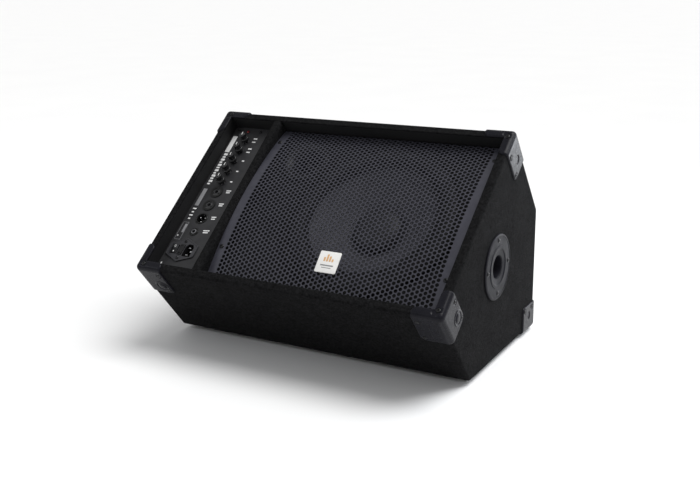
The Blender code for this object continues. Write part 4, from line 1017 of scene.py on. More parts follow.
@dataclass
class Guards(SubAssembly):
    """Moulded guards on six corners, with their screws."""

    leg: float = 0.048
    reach: float = 0.064
    rear_leg: float = 0.045
    rear_reach: float = 0.056
    wall: float = 0.0026
    bend: float = 0.0052
    roll: float = 0.0024
    corner: float = 0.009
    seat: float = 0.0045
    seat_depth: float = 0.0012
    dome: float = 0.013
    dome_height: float = 0.0018
    dimple: float = 0.0075
    peak_boss: tuple[float, float] = (0.0224, 0.0396)
    kick_boss: tuple[float, float] = (0.0316, 0.0440)
    heel_boss: tuple[float, float] = (0.0260, 0.0300)
    pitch: float = 0.0009
    gap: float = 0.00005
    screw: float = 0.0034
    screw_inset: float = 0.0075
    upper_screw: float = 0.0155
    lip_screw: tuple[float, float] = (0.0125, 0.0078)

    def spread(self, length: float) -> np.ndarray:
        """Return places from 0 to a length, close together over the rolled edge at its far end."""
        edge = np.array([0.0, 0.04, 0.15, 0.34, 0.62, 1.0]) * self.roll
        inner = np.linspace(0.0, length - self.roll, int(length / self.pitch))
        return np.concatenate([inner[:-1], length - edge[::-1]])

    def height(self, wall: int, along: np.ndarray, across: np.ndarray, size: tuple, features: Sequence) -> tuple:
        """Work out a wall's outer surface.

        Args:
            wall: Which wall it is.
            along: Distances from the corner edge.
            across: Distances from the top edge.
            size: The wall's length and depth.
            features: What is raised on it or sunk into it.

        Returns:
            Heights over the cabinet, and the two distances held inside the rounded free corner.
        """
        inner = self.corner
        over_x, over_y = along - (size[0] - inner), across - (size[1] - inner)
        reach = np.hypot(np.maximum(over_x, 0), np.maximum(over_y, 0))
        outside = reach > inner
        shrink = np.where(outside, inner / np.maximum(reach, 1e-9), 1.0)
        both = (over_x > 0) & (over_y > 0)
        border = np.where(both, inner - reach, np.minimum(size[0] - along, size[1] - across))
        along = np.where(both, size[0] - inner + over_x * shrink, along)
        across = np.where(both, size[1] - inner + over_y * shrink, across)
        rise = np.clip(border / self.roll, 0.0, 1.0)
        height = self.wall * np.sqrt(1 - (1 - rise) ** 2)
        for feature in features:
            if feature.wall != wall:
                continue
            distance = np.hypot(along - feature.along, across - feature.across)
            if feature.kind is Relief.SEAT:
                height -= self.seat_depth * np.clip((self.seat - distance) / (0.25 * self.seat) + 0.5, 0, 1)
            elif feature.kind is Relief.DIMPLE:
                height -= self.seat_depth * np.clip((self.dimple - distance) / MILLI, 0, 1)
            elif feature.kind is Relief.DOME:
                share = distance / self.dome
                cap = np.clip(1 - (share / 0.62) ** 4, 0, 1)
                ring = np.clip(1 - ((share - 0.86) / 0.13) ** 2, 0, 1)
                height += self.dome_height * np.maximum(cap, 0.55 * ring)
            else:
                bar = np.clip(1 - (np.abs(along - feature.along) / MILLI) ** 2, 0, 1)
                height += 0.4 * MILLI * bar * (np.abs(across - feature.across) < self.dome)
        return height, along, across

    def shell(self, leg: float, reach: float, lip: float, features: Sequence[Feature]) -> Shape:
        """Shape one guard in its own frame, with the cabinet's corner at the origin.

        Args:
            leg: Length of both legs, along -x and -y.
            reach: Depth of both walls, along -z.
            lip: Width of the part that lies on top.
            features: What is raised on it or sunk into it.

        Returns:
            Points and faces.
        """
        bend = self.bend
        legs = self.spread(leg - bend) / (leg - bend)
        turn = np.linspace(0, math.pi / 2, 6)[1:-1]
        columns = [(0, share) for share in legs[::-1]]
        columns += [(-1, angle) for angle in turn] + [(1, share) for share in legs]
        rows = [(Band.LIP, across) for across in self.spread(lip - bend)[::-1]]
        rows += [(Band.EDGE, angle) for angle in turn[::-1]]
        rows += [(Band.WALL, across) for across in self.spread(reach - bend)]
        outer, inner = [], []
        for band, amount in rows:
            for wall, share in columns:
                base, outward, thick = self.spot(band, amount, wall, share, (leg, reach, lip), features)
                inner.append(base + outward * (bend + self.gap))
                outer.append(base + outward * (bend + self.gap + thick))
        count = len(columns)
        faces = []
        for layer in (0, len(rows) * count):
            for row in range(len(rows) - 1):
                for column in range(count - 1):
                    first = layer + row * count + column
                    faces.append((first, first + 1, first + count + 1, first + count))
        return np.array([tuple(point) for point in (*outer, *inner)]), faces

    def spot(
        self, band: Band, amount: float, wall: int, share: float, size: tuple, features: Sequence[Feature]
    ) -> tuple[Vector, Vector, float]:
        """Work out one point of a guard.

        Args:
            band: The stretch that it lies on.
            amount: Its distance down that stretch, or its angle on the bent edge.
            wall: 0 or 1 for the wall whose side it is on, or -1 for the round corner between them.
            share: Its share of that wall's leg, or its angle on the round corner.
            size: The guard's leg, reach and lip.
            features: What is raised on the guard or sunk into it.

        Returns:
            The centre of its bend, its outward direction, and the guard's thickness there.
        """
        leg, reach, lip = size
        bend = self.bend
        pull = amount if band is Band.LIP else 0.0
        drop = amount if band is Band.WALL else 0.0
        lean = {Band.LIP: math.pi / 2, Band.EDGE: amount, Band.WALL: 0.0}[band]
        if wall < 0:
            flat, along, found = Vector((math.sin(share), math.cos(share), 0)), 0.0, ()
        else:
            flat, along, found = Vector((wall, 1 - wall, 0)), pull + share * (leg - bend - pull), features
        side, depth = (2, lip) if band is Band.LIP else (max(wall, 0), reach)
        across = np.array(pull + drop + bend)
        thick, run, sink = self.height(side, np.array(along + bend), across, (leg, depth), found)
        if band is Band.LIP:
            base = Vector((-float(sink), -float(sink), -bend))
        else:
            base = Vector((-bend, -bend, -float(sink) if band is Band.WALL else -bend))
        if wall >= 0:
            base[wall] = -float(run)
        return base, flat * math.cos(lean) + Z_AXIS * math.sin(lean), float(thick)

    def features(self, leg: float, reach: float, boss: Relief, spot: tuple[float, float]) -> list[Feature]:
        """Return the features of a guard: two seats on each wall, and its boss on the +x wall.

        Args:
            leg: Length of its legs.
            reach: Depth of its walls.
            boss: Kind of the boss.
            spot: The boss's distances from the corner edge and from the top edge.

        Returns:
            The features.
        """
        run = leg - self.screw_inset
        drops = (self.upper_screw, reach - self.screw_inset)
        found = [Feature(Relief.SEAT, wall, run, drop) for wall in (0, 1) for drop in drops]
        return [*found, Feature(boss, 1, *spot), Feature(Relief.RIDGE, 0, 0.5 * leg, 0.55 * reach)]

    def seats(self, features: Sequence[Feature], axes: Matrix) -> list[Matrix]:
        """Return where the screws of a guard sit, in the frame that the axes are given in."""
        places = []
        rest = self.wall - self.seat_depth + MILLI / 4
        for feature in features:
            if feature.kind is Relief.SEAT:
                run, down = -feature.along, -feature.across
                spot = ((run, rest, down), (rest, run, down), (down, run, rest))[feature.wall]
                direction = (axes.to_3x3() @ (Y_AXIS, X_AXIS, Z_AXIS)[feature.wall]).normalized()
                places.append(facing(axes @ Vector(spot), direction, direction.orthogonal().normalized()))
        return places

    def build(self) -> None:
        """Build the guards at the three square corners of each side."""
        wedge = self.wedge
        x, y, z = X_AXIS, Y_AXIS, Z_AXIS
        top = {
            "right": ((x, y, z), (wedge.half, wedge.slant, 0)),
            "left": ((y, -x, z), (-wedge.half, wedge.slant, 0)),
        }
        kick = {"right": ((x, -y, z), (wedge.half, 0, 0)), "left": ((-y, -x, z), (-wedge.half, 0, 0))}
        rear = {
            side: (axes, (wedge.middle + sign * wedge.half, *wedge.heel))
            for side, axes, sign in (("right", (x, -z, y), 1), ("left", (-z, -x, y), -1))
        }
        lip_seat = Feature(Relief.SEAT, 2, *self.lip_screw)
        long, short = (self.leg, self.reach), (self.rear_leg, self.rear_reach)
        for name, pair, size, lip, boss, spot, place in (
            ("guard_top", top, long, wedge.rim, Relief.DIMPLE, self.peak_boss, wedge.front),
            ("guard_kick", kick, long, wedge.rim, Relief.DOME, self.kick_boss, wedge.front),
            ("guard_rear", rear, short, self.rear_leg, Relief.DIMPLE, self.heel_boss, WORLD),
        ):
            listed = self.features(*size, boss, spot)
            if size == long:
                listed.append(lip_seat)
            shape = self.shell(*size, lip, listed)
            for side, (axes, corner) in pair.items():
                node, turn = f"{name}_{side}", with_axes(axes, corner)
                moulding = moved(shape, turn)
                self.shop.shape(
                    node + "_moulding", moulding, "guard plastic", place, stands_for=(node,), sharp=50.0
                )
                self.fix(node + "_screws", self.seats(listed, turn), self.screw, place)


@dataclass
class Grille(SubAssembly):
    """Bowed steel grille with round holes, its screws, and the badge on it."""

    pitch: float = 0.00769
    hole: float = 0.00310
    margin: float = 0.014
    thick: float = 0.0012
    crown: float = 0.004
    sides: int = 12
    screw_share: float = 0.17
    screw: float = 0.0036
    badge_edge: float = 0.0006
    badge_corner: float = 0.0022
    badge_thick: float = 0.0015
    badge_ink: float = 0.00002
    meter: tuple[float, ...] = (0.20, 0.34, 0.26, 0.14)

    def __post_init__(self) -> None:
        """Find the sheet's edges, and the radius of its bow."""
        low, high = self.wedge.on_front("grille")
        self.low, self.high = low, high
        self.middle = (low.y + high.y) / 2
        half = (high.y - low.y) / 2
        sag = (high.z - low.z) - self.thick
        self.radius = (half**2 + sag**2) / (2 * sag)
        self.half_arc = self.radius * math.asin(half / self.radius)

    def bow(self, x: float, run: float, rise: float = 0.0) -> tuple[float, float, float]:
        """Return a point of the sheet from its place on the flat sheet and its height over it."""
        angle = run / self.radius
        reach = self.radius + rise
        return x, self.middle + reach * math.sin(angle), self.high.z - self.radius + reach * math.cos(angle)

    def on_bow(self, x: float, y: float, rise: float) -> Matrix:
        """Return a frame that stands on the sheet at a place up the slope."""
        angle = math.asin((y - self.middle) / self.radius)
        return Matrix.Translation(self.bow(x, angle * self.radius, rise)) @ Matrix.Rotation(-angle, 4, "X")

    def cell(self, column: int, count: int, centre: tuple[float, float], edges: tuple[float, float]) -> list:
        """Return the corners of one cell of the sheet, stretched to the edge in the outer columns."""
        step, half = self.pitch * math.sqrt(3) / 2, self.pitch / 2
        points = []
        for index in range(self.sides):
            angle = math.tau * index / self.sides
            around = round(math.degrees(angle)) % 60
            reach = self.pitch / math.sqrt(3) if around == 0 else half
            x, y = centre[0] + reach * math.cos(angle), centre[1] + reach * math.sin(angle)
            if (column == 0 and x < centre[0] - step / 4) or (column == count - 1 and x > centre[0] + step / 4):
                x = edges[0] if column == 0 else edges[1]
                y = centre[1] + half * max(-1.0, min(1.0, math.sin(angle) / math.sin(math.pi / 3)))
            points.append((x, y))
        return points

    def sheet(self) -> Shape:
        """Return the perforated sheet, flat and with its holes running off both ends."""
        step = self.pitch * math.sqrt(3) / 2
        room = self.high.x - self.low.x - 2 * self.margin
        count = int((room - 2 * self.hole) / step) + 1
        start = (self.low.x + self.high.x - (count - 1) * step) / 2
        rows = int(self.half_arc / self.pitch) + 1
        cloud, faces = [], []
        size = self.sides
        edges = (self.low.x, self.high.x)
        for column in range(count):
            for row in range(-rows - 1, rows + 1):
                centre = (start + column * step, (row + (column % 2) / 2 + 0.25) * self.pitch)
                outer = self.cell(column, count, centre, edges)
                inner = [(centre[0] + x, centre[1] + y) for x, y in on_circle(size, self.hole)]
                base = len(cloud)
                for height in (0.0, -self.thick):
                    cloud += [(x, y, height) for x, y in (*outer, *inner)]
                for k in range(size):
                    after = (k + 1) % size
                    top = (base + k, base + after, base + size + after, base + size + k)
                    low = tuple(corner + 2 * size for corner in top[::-1])
                    faces += [top, low, (top[3], top[2], top[2] + 2 * size, top[3] + 2 * size)]
        return np.array(cloud), faces

    def build_sheet(self) -> None:
        """Trim the sheet at both ends, close its cut edges and bow it."""
        mesh = bpy.data.meshes.new("grille_sheet")
        points, faces = self.sheet()
        mesh.from_pydata(points.tolist(), [], faces)
        built = bmesh.new()
        built.from_mesh(mesh)
        bmesh.ops.remove_doubles(built, verts=built.verts, dist=1e-6)
        for side in (-1, 1):
            cut, outward = (0, side * self.half_arc, 0), (0, side, 0)
            geometry = [*built.verts, *built.edges, *built.faces]
            bmesh.ops.bisect_plane(built, geom=geometry, plane_co=cut, plane_no=outward, clear_outer=True)
        rims = [edge for edge in built.edges if edge.is_boundary]
        bmesh.ops.holes_fill(built, edges=rims, sides=0)
        for vertex in built.verts:
            vertex.co = self.bow(*vertex.co)
        bmesh.ops.recalc_face_normals(built, faces=built.faces)
        built.to_mesh(mesh)
        built.free()
        self.shop.piece("grille_sheet", mesh, "grille steel", self.wedge.front, stands_for=("grille",))

    def build_badge(self) -> None:
        """Build the badge: a white plate with a level-meter mark and two grey bars under it."""
        low, high = self.wedge.on_front("badge")
        middle, size = (low + high) / 2, high - low
        place = self.wedge.front @ self.on_bow(middle.x, middle.y, MILLI * 0.3)
        thick = self.badge_thick
        body = rounded_plate(size.x, size.y, self.badge_corner, 0.0, thick, self.badge_edge)
        self.shop.shape("badge_plate", body, "badge white", place, stands_for=("badge",), sharp=50.0)
        meter = [(0.13 * index - 0.195, 0.02 + tall / 2, 0.09, tall) for index, tall in enumerate(self.meter)]
        rules = ((0, -0.16, 0.62, 0.065), (0, -0.27, 0.46, 0.035))
        span = (thick - MILLI / 2, thick + self.badge_ink, self.badge_ink / 2)
        for name, finish, corner, marks in (
            ("badge_mark", "badge amber", MILLI, meter),
            ("badge_rules", "badge ink", MILLI / 2, rules),
        ):
            bars = []
            for x, y, wide, tall in marks:
                bar = rounded_plate(size.x * wide, size.y * tall, corner, *span)
                bars.append(shifted(bar, size.x * x, size.y * y))
            self.shop.shape(name, merged(bars), finish, place)

    def build(self) -> None:
        """Build the sheet, its four screws and the badge."""
        self.build_sheet()
        self.build_badge()
        tall = self.high.y - self.low.y
        places = []
        for x in (self.low.x + self.margin / 2, self.high.x - self.margin / 2):
            for y in (self.low.y + tall * self.screw_share, self.high.y - tall * self.screw_share * 0.6):
                places.append(self.on_bow(x, y, 0.0))
        self.fix("grille_screws", places, self.screw, self.wedge.front)


@dataclass
class Woofer(SubAssembly):
    """Bass driver on the baffle: smooth turned parts over its packed motor and basket."""

    segments: int = 96
    cone_steps: int = 60
    corrugations: int = 4
    ring_depth: float = 0.00035
    roll_thick: float = 0.0008
    frame_screws: int = 8

    def __post_init__(self) -> None:
        """Find the driver's axis and the places of its parts, measured from the baffle's face."""
        low, high = self.wedge.on_front("woofer_basket")
        self.face = self.wedge.on_front("baffle")[1].z
        self.axis = self.wedge.at((low.x + high.x) / 2, (low.y + high.y) / 2, self.face)
        self.outer = (high.x - low.x) / 2
        self.top = high.z - self.face

    def span(self, node: str) -> tuple[float, float, float]:
        """Return a turned node's radius, and its lowest and highest place on the axis."""
        low, high = self.wedge.on_front(node)
        return (high.x - low.x) / 2, low.z - self.face, high.z - self.face

    def build_cone(self) -> None:
        """Turn the cone with its shallow rings, and the cap over its neck."""
        radius, _, top = self.span("woofer_cone")
        cap_radius, cap_low, cap_high = self.span("dust_cap")
        neck = inner_radius("woofer_cone", self.axis)
        depth = (cap_low - 2 * MILLI) * 1.55
        face = []
        for share in np.linspace(0.0, 1.0, self.cone_steps + 1):
            height = top - (top - depth) * share**0.92
            ring = self.ring_depth * max(0.0, math.cos(share * math.tau * self.corrugations)) ** 6
            height -= ring if 0.08 < share < 0.75 else 0.0
            face.append((radius - share * (radius - neck), height))
        back = [(reach, height - MILLI) for reach, height in reversed(face)]
        cone = revolve([*face, *back], self.segments)
        self.shop.shape(
            "cone_body", cone, "cone paper", self.axis, body="cone", stands_for=("woofer_cone",), sharp=80.0
        )
        dome = [(cap_radius, cap_low)]
        for angle in np.linspace(0.0, math.pi / 2, 13)[:-1]:
            height = cap_low + (cap_high - cap_low) * math.sin(angle) ** 0.9
            dome.append((cap_radius * 0.97 * math.cos(angle), height))
        dome += [(0.0, cap_high), (0.0, cap_high - MILLI), (cap_radius * 0.9, cap_low)]
        cap = revolve(dome, self.segments)
        self.shop.shape("cap_dome", cap, "dust cap", self.axis, body="cone", stands_for=("dust_cap",), sharp=80.0)

    def build_surround(self) -> None:
        """Turn the rolled surround, fixed to the frame outside and carried by the cone inside."""
        outer, low, high = self.span("woofer_surround")
        inner = inner_radius("woofer_surround", self.axis)
        cone = self.span("woofer_cone")[0]
        seat = inner_radius("woofer_gasket", self.axis)
        thin = self.roll_thick
        roll = []
        for x, y in arc((0.0, 0.0), 1.0, 0, 180, 24):
            roll.append(((seat + cone) / 2 + (seat - cone) / 2 * x, low + (high - low - thin) * y))
        top = [(outer, low), *roll, (inner, low)]
        under = [(reach, height + thin) for reach, height in top]
        shape = revolve([*under, *reversed(top)], self.segments)
        piece = self.shop.shape(
            "surround_roll", shape, "surround cloth", self.axis, stands_for=("woofer_surround",), sharp=70.0
        )
        self.share_travel(piece, cone, seat)

    def share_travel(self, piece: bpy.types.Object, inner: float, outer: float) -> None:
        """Let a ring follow the cone at its inner edge and the frame at its outer edge.

        Args:
            piece: The ring.
            inner: Radius up to which it follows the cone.
            outer: Radius from which it follows the frame.
        """
        world = piece.matrix_world.copy()
        piece.parent = None
        piece.matrix_world = world
        middle = self.axis.translation
        rim = self.axis @ Vector((outer, 0, 0))
        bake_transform(piece, "cone", CABINET, start=tuple(middle), end=tuple(rim))
        shares = piece.data.attributes["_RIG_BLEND"].data
        for vertex, share in zip(piece.data.vertices, shares, strict=True):
            reach = math.hypot(vertex.co.x, vertex.co.y)
            share.value = max(0.0, min(1.0, (reach - inner) / (outer - inner)))

    def build_frame(self) -> None:
        """Turn the gasket that sits on the frame's flange, and set the mounting screws."""
        outer, low, high = self.span("woofer_gasket")
        seat = inner_radius("woofer_gasket", self.axis)
        profile = [(seat, low), (outer, low), *arc((outer - MILLI, high - MILLI), MILLI, 0, 90, 3)]
        profile += arc((seat + MILLI, high - MILLI), MILLI, 90, 180, 3)
        gasket = revolve(profile, self.segments)
        self.shop.shape("gasket_ring", gasket, "gasket fibre", self.axis, stands_for=("woofer_gasket",))
        spot = ((outer + seat) / 2, high, 180 / self.frame_screws)
        self.fix_round("woofer_screws", self.frame_screws, 0.0036, self.axis, spot)

    def build(self) -> None:
        """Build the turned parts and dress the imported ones."""
        self.build_cone()
        self.build_surround()
        self.build_frame()
        for node, finish, broken in (
            ("woofer_basket", "basket paint", MILLI / 4),
            ("spider", "spider cloth", 0.0),
            ("top_plate", "bright steel", MILLI / 2),
            ("back_plate", "bright steel", MILLI / 2),
            ("magnet", "ferrite", MILLI / 2),
            ("woofer_lead", "lead insulation", 0.0),
        ):
            self.shop.dress(node, finish, broken)


@dataclass
class Tweeter(SubAssembly):
    """Round horn with its centre plug and rim screws."""

    segments: int = 72
    rim_screws: int = 4
    mouth_share: float = 0.83
    thick: float = 0.002
    seat: float = 0.0003

    def build(self) -> None:
        """Turn the horn and dress its driver."""
        low, high = self.wedge.on_front("tweeter_horn")
        face = self.wedge.on_front("baffle")[1].z
        axis = self.wedge.at((low.x + high.x) / 2, (low.y + high.y) / 2, face)
        outer = (high.x - low.x) / 2
        throat = inner_radius("tweeter_horn", axis)
        top, floor = high.z - face, low.z - face
        mouth = outer * self.mouth_share
        lip = top - MILLI / 2
        flare = []
        for share in np.linspace(0.0, 1.0, 25):
            flare.append((mouth + (throat - mouth) * share**0.45, lip - (lip - floor) * share))
        rim = [(outer, self.seat), *arc((outer - MILLI, top - MILLI), MILLI, 0, 90, 4), (mouth + MILLI, top)]
        rear = [(reach + self.thick, height) for reach, height in [(throat, floor), *reversed(flare[2:-1])]]
        horn = revolve([*rim, *flare, *rear, (mouth + MILLI, self.seat)], self.segments)
        self.shop.shape("horn_flare", horn, "horn plastic", axis, stands_for=("tweeter_horn",), sharp=60.0)
        spot = ((outer + mouth) / 2, top - MILLI / 3, 180 / self.rim_screws)
        self.fix_round("horn_screws", self.rim_screws, 0.0024, axis, spot)
        self.shop.dress("tweeter_driver", "driver metal", MILLI / 2)
        self.shop.dress("tweeter_lead", "lead insulation")


@dataclass
class AmpPanel(SubAssembly):
    """Amplifier panel: its print, knobs, sockets, lamp and mains unit."""

    ink: float = 0.00012
    knob_height: float = 0.0145
    flutes: int = 18
    skirt_radius: float = 0.0076
    skirt_height: float = 0.0052
    grip_radius: float = 0.0060
    socket_radius: float = 0.0112
    jack_radius: float = 0.008
    inlet_offset: float = 0.0132
    socket_depth: float = 0.018
    contact_ring: float = 0.0064
    pin_ring: float = 0.0056
    inlet_floor: float = -0.018
    rocker_tilt: float = 8.0
    rocker_lift: float = 0.0015
    inlet_corner: float = 0.0014
    screw_inset: float = 0.0085
    screw_shift: float = 0.025
    title_blocks: int = 12
    box_middle: float = 0.0985
    caption_lean: float = 6.0

    def __post_init__(self) -> None:
        """Find the panel's face and edges."""
        self.low, self.high = self.wedge.on_front("amp_panel")
        self.face = self.high.z
        self.column = self.wedge.centre("knob_1").x

    def on_panel(self, x: float, y: float, z: float = 0.0) -> Matrix:
        """Return a frame on the panel's face."""
        return self.wedge.at(x, y, self.face + z)

    def label(self, x: float, y: float, width: float, tall: float, corner: float = 0.3 * MILLI) -> Shape:
        """Return one printed block, in the panel's frame."""
        corner = min(corner, 0.45 * min(width, tall))
        return shifted(rounded_plate(width, tall, corner, -self.ink, self.ink, self.ink / 4), x, y)

    def captions(self) -> list[Shape]:
        """Return the mark and the lines of print beside each dial and socket."""
        blocks = []
        for index in range(5):
            y = self.wedge.centre(f"knob_{index + 1}").y
            blocks.append(self.label(self.column - 0.0105, y + 0.0042, 0.0024, 0.0034))
            lines = ((0.0076, 0.0026), (-0.0002, 0.0022)) if index < 2 else ((0.0034, 0.0026),)
            wide = 0.0074 if index < 2 else 0.0046
            blocks += [self.label(self.column + 0.017, y + rise, wide, tall) for rise, tall in lines]
        lean = Matrix.Rotation(math.radians(self.caption_lean), 4, "Z")
        for node in ("input_socket_1", "input_socket_2", "output_socket", "jack_socket"):
            y = self.wedge.centre(node).y
            wide = 0.0125 if node == "jack_socket" else 0.0095
            for rise, width in ((0.0056, wide), (0.0016, wide * 0.8)):
                spot = Matrix.Translation((self.column + 0.0225, y + rise, 0)) @ lean
                blocks.append(moved(self.label(0, 0, width, 0.0021), spot))
        return blocks

    def build_print(self) -> None:
        """Print the captions, and the plain column of blocks, bars and a box along the left edge."""
        edge = self.column - 0.026
        white = [*self.captions(), self.label(edge - MILLI, 0.295, 0.0095, 0.038, MILLI / 2)]
        for row in range(self.title_blocks):
            long = (0.0078, 0.0066, 0.0078, 0.0056)[row % 4]
            tall = (0.0048, 0.0034)[row % 2]
            white.append(self.label(edge + (long - 0.0078) / 2, 0.2705 - row * 0.0062, long, tall, MILLI))
        for row in range(4):
            white.append(self.label(edge + 0.0004, 0.1465 - row * 0.0072, (0.0070, 0.0044)[row % 2], 0.0026))
        white.append(self.label(edge - 0.0026, 0.088, 0.0026, 0.0026, MILLI))
        white += [self.label(edge - 0.0036, y, 0.0022, 0.0036) for y in (0.066, 0.052, 0.030)]
        grey = [
            self.label(edge, 0.172, 0.0080, 0.038, MILLI / 2),
            self.label(edge + 0.0024, 0.104, 0.0044, 0.018, MILLI / 2),
        ]
        for side in (-1, 1):
            grey.append(self.label(edge + side * 0.0056, self.box_middle, 0.0006, 0.036))
            grey.append(self.label(edge, self.box_middle + side * 0.018, 0.0118, 0.0006))
        self.shop.shape("panel_print", merged(white), "panel ink", self.on_panel(0, 0))
        self.shop.shape("panel_rules", merged(grey), "panel grey ink", self.on_panel(0, 0))

    def knob(self) -> Shape:
        """Return a fluted knob over a plain skirt, its base at height 0."""
        top, step = self.knob_height, self.skirt_height
        skirt, grip = self.skirt_radius, self.grip_radius
        profile = [(0, 0), (skirt - MILLI / 3, 0), *arc((skirt - MILLI / 3, MILLI / 3), MILLI / 3, -90, 0, 3)]
        profile += arc((skirt - MILLI, step - MILLI), MILLI, 0, 90, 4)
        profile += [(grip + MILLI / 4, step), (grip, step + MILLI / 3), (grip - MILLI / 3, top - MILLI)]
        profile += arc((grip - 1.4 * MILLI, top - MILLI), MILLI, 0, 90, 4)
        profile += [(grip * 0.5, top), (grip * 0.45, top - MILLI / 3), (0, top - MILLI / 3)]

        def flute(angle: float, radius: float, height: float) -> float:
            """Return the radius of the fluted grip."""
            on_grip = step + MILLI / 4 < height < top - MILLI / 4 and radius > grip * 0.7
            cut = 0.35 * MILLI * (0.5 + 0.5 * math.cos(self.flutes * angle)) ** 3
            return radius - (cut if on_grip else 0.0)

        return revolve(profile, self.flutes * 8, flute)

    def build_knobs(self) -> None:
        """Set the five knobs with their pointer lines on the bodies that turn them."""
        unit = self.knob()
        reach = self.grip_radius
        marks = []
        for tall, top, run in (
            (reach * 0.95, self.knob_height, reach * 0.48),
            (1.5 * MILLI, self.skirt_height, self.skirt_radius - 1.5 * MILLI),
        ):
            line = rounded_plate(0.9 * MILLI, tall, 0.2 * MILLI, top - MILLI, top + MILLI / 12, 1e-5)
            marks.append(shifted(line, 0, run))
        washer = revolve([(0.0046, 0), (0.0066, 0), (0.0066, 0.0006), (0.0046, 0.0006)], 40)
        hexagon, hole = on_circle(6, 0.0058), on_circle(6, 0.00464)
        levels = ((hexagon, 0.0006), (hexagon, 0.0026), (hole, 0.0026), (hole, 0.0006))
        nut = loft([at_height(outline, height) for outline, height in levels], closed=True)
        nuts = []
        for index in range(1, 6):
            node, body = f"knob_{index}", f"control_{index}"
            centre, top = self.wedge.centre(node), self.wedge.on_front(node)[1].z
            place = self.wedge.at(centre.x, centre.y, top - self.knob_height)
            self.shop.shape(
                node + "_grip", unit, "knob plastic", place, body=body, stands_for=(node,), sharp=50.0
            )
            self.shop.shape(node + "_pointer", merged(marks), "pointer white", place, body=body)
            nuts += [shifted(part, centre.x, centre.y) for part in (washer, nut)]
        self.shop.shape("pot_nuts", merged(nuts), "screw steel", self.on_panel(0, 0))

    def socket(self, node: str) -> tuple[Matrix, list]:
        """Return a round socket's place on the panel, and the outer side of its shell's profile."""
        centre, radius = self.wedge.centre(node), self.socket_radius
        side = [(0, -self.socket_depth), (radius, -self.socket_depth), (radius, 0.0004)]
        return self.on_panel(centre.x, centre.y), [*side, *arc((radius - 0.0008, 0.0005), 0.0008, 0, 90, 4)]

    def build_combo(self, node: str) -> None:
        """Build one combined input: a grey face in a black ring, with its bore and contact holes."""
        place, profile = self.socket(node)
        radius = self.socket_radius
        profile += [(radius - 0.0016, 0.0013), (radius - 0.002, -0.0006), (radius - 0.0026, -0.0006)]
        profile += [(radius - 0.003, 0.0006), (0.0052, 0.0008), (0.0046, 0.0008), (0, 0.0008)]
        body = mesh_of(node + "_face", revolve(profile, 64))
        hole = rod_shape(0.00135, -0.012, 0.01, 20)
        cutters = [shifted(hole, *spot) for spot in on_circle(3, self.contact_ring, 90)]
        face = carve(body, [rod_shape(0.0033, -0.016, 0.01, 32), *cutters])
        self.shop.piece(node + "_face", face, "socket grey", place, stands_for=(node,))
        inner, outer = radius - 0.0034, radius + 0.0003
        ring = [(inner, -0.0005), (outer, -0.0005), (outer, 0.0017), (inner, 0.0017)]
        latch = shifted(rounded_plate(0.0046, 0.0028, 0.0006, 0.0004, 0.0018, 0.0004), 0, radius * 0.66)
        bush = [(0.0034, 0.0004), (0.0047, 0.0004), *arc((0.0043, 0.0012), 0.0004, 0, 90, 3), (0.0034, 0.0016)]
        self.shop.shape(node + "_ring", revolve(ring, 64), "socket black", place)
        self.shop.shape(node + "_latch", latch, "screw steel", place)
        self.shop.shape(node + "_bush", revolve(bush, 48), "socket grey", place)

    def build_output(self) -> None:
        """Build the three-pin output: a dark round shell with bright pins in its well."""
        place, profile = self.socket("output_socket")
        profile += arc((0.0095, 0.0009), 0.0004, 90, 180, 3) + [(0.0091, -0.0124), (0, -0.0124)]
        shell = revolve(profile, 64)
        self.shop.shape("output_shell", shell, "socket black", place, stands_for=("output_socket",))
        pin = rod_shape(0.00125, -0.0125, -0.0015, 20, 0.0007)
        pins = [shifted(pin, *spot) for spot in on_circle(3, self.pin_ring, -90)]
        self.shop.shape("output_pins", merged(pins), "bright steel", place)
        key = shifted(rounded_plate(0.0022, 0.0014, 0.0003, -0.012, -0.001, 0.0003), 0, 0.0086)
        self.shop.shape("output_key", key, "socket grey", place)

    def build_jack(self) -> None:
        """Build the jack: a nut of stepped rings round a bright bush."""
        place, _ = self.socket("jack_socket")
        bore, radius, foot = 0.0033, self.jack_radius, -self.socket_depth
        body = [(bore, foot), (radius, foot), (radius, 0.0006), *arc((radius - 0.0006, 0.0006), 0.0006, 0, 90, 3)]
        body += [(0.0062, 0.0012), (0.0060, 0.0006), (0.0054, 0.0006), (0.0052, 0.0018), (bore, 0.0018)]
        self.shop.shape("jack_body", revolve(body, 56), "socket black", place, stands_for=("jack_socket",))
        bush = [(bore, -0.008), (0.0048, -0.008), (0.0048, 0.0016)]
        bush += [*arc((0.0044, 0.0018), 0.0004, 0, 90, 3), (bore, 0.0022)]
        self.shop.shape("jack_bush", revolve(bush, 48), "dull nickel", place)
        self.shop.shape("jack_floor", rod_shape(0.0032, -0.0178, -0.016, 24), "socket black", place)

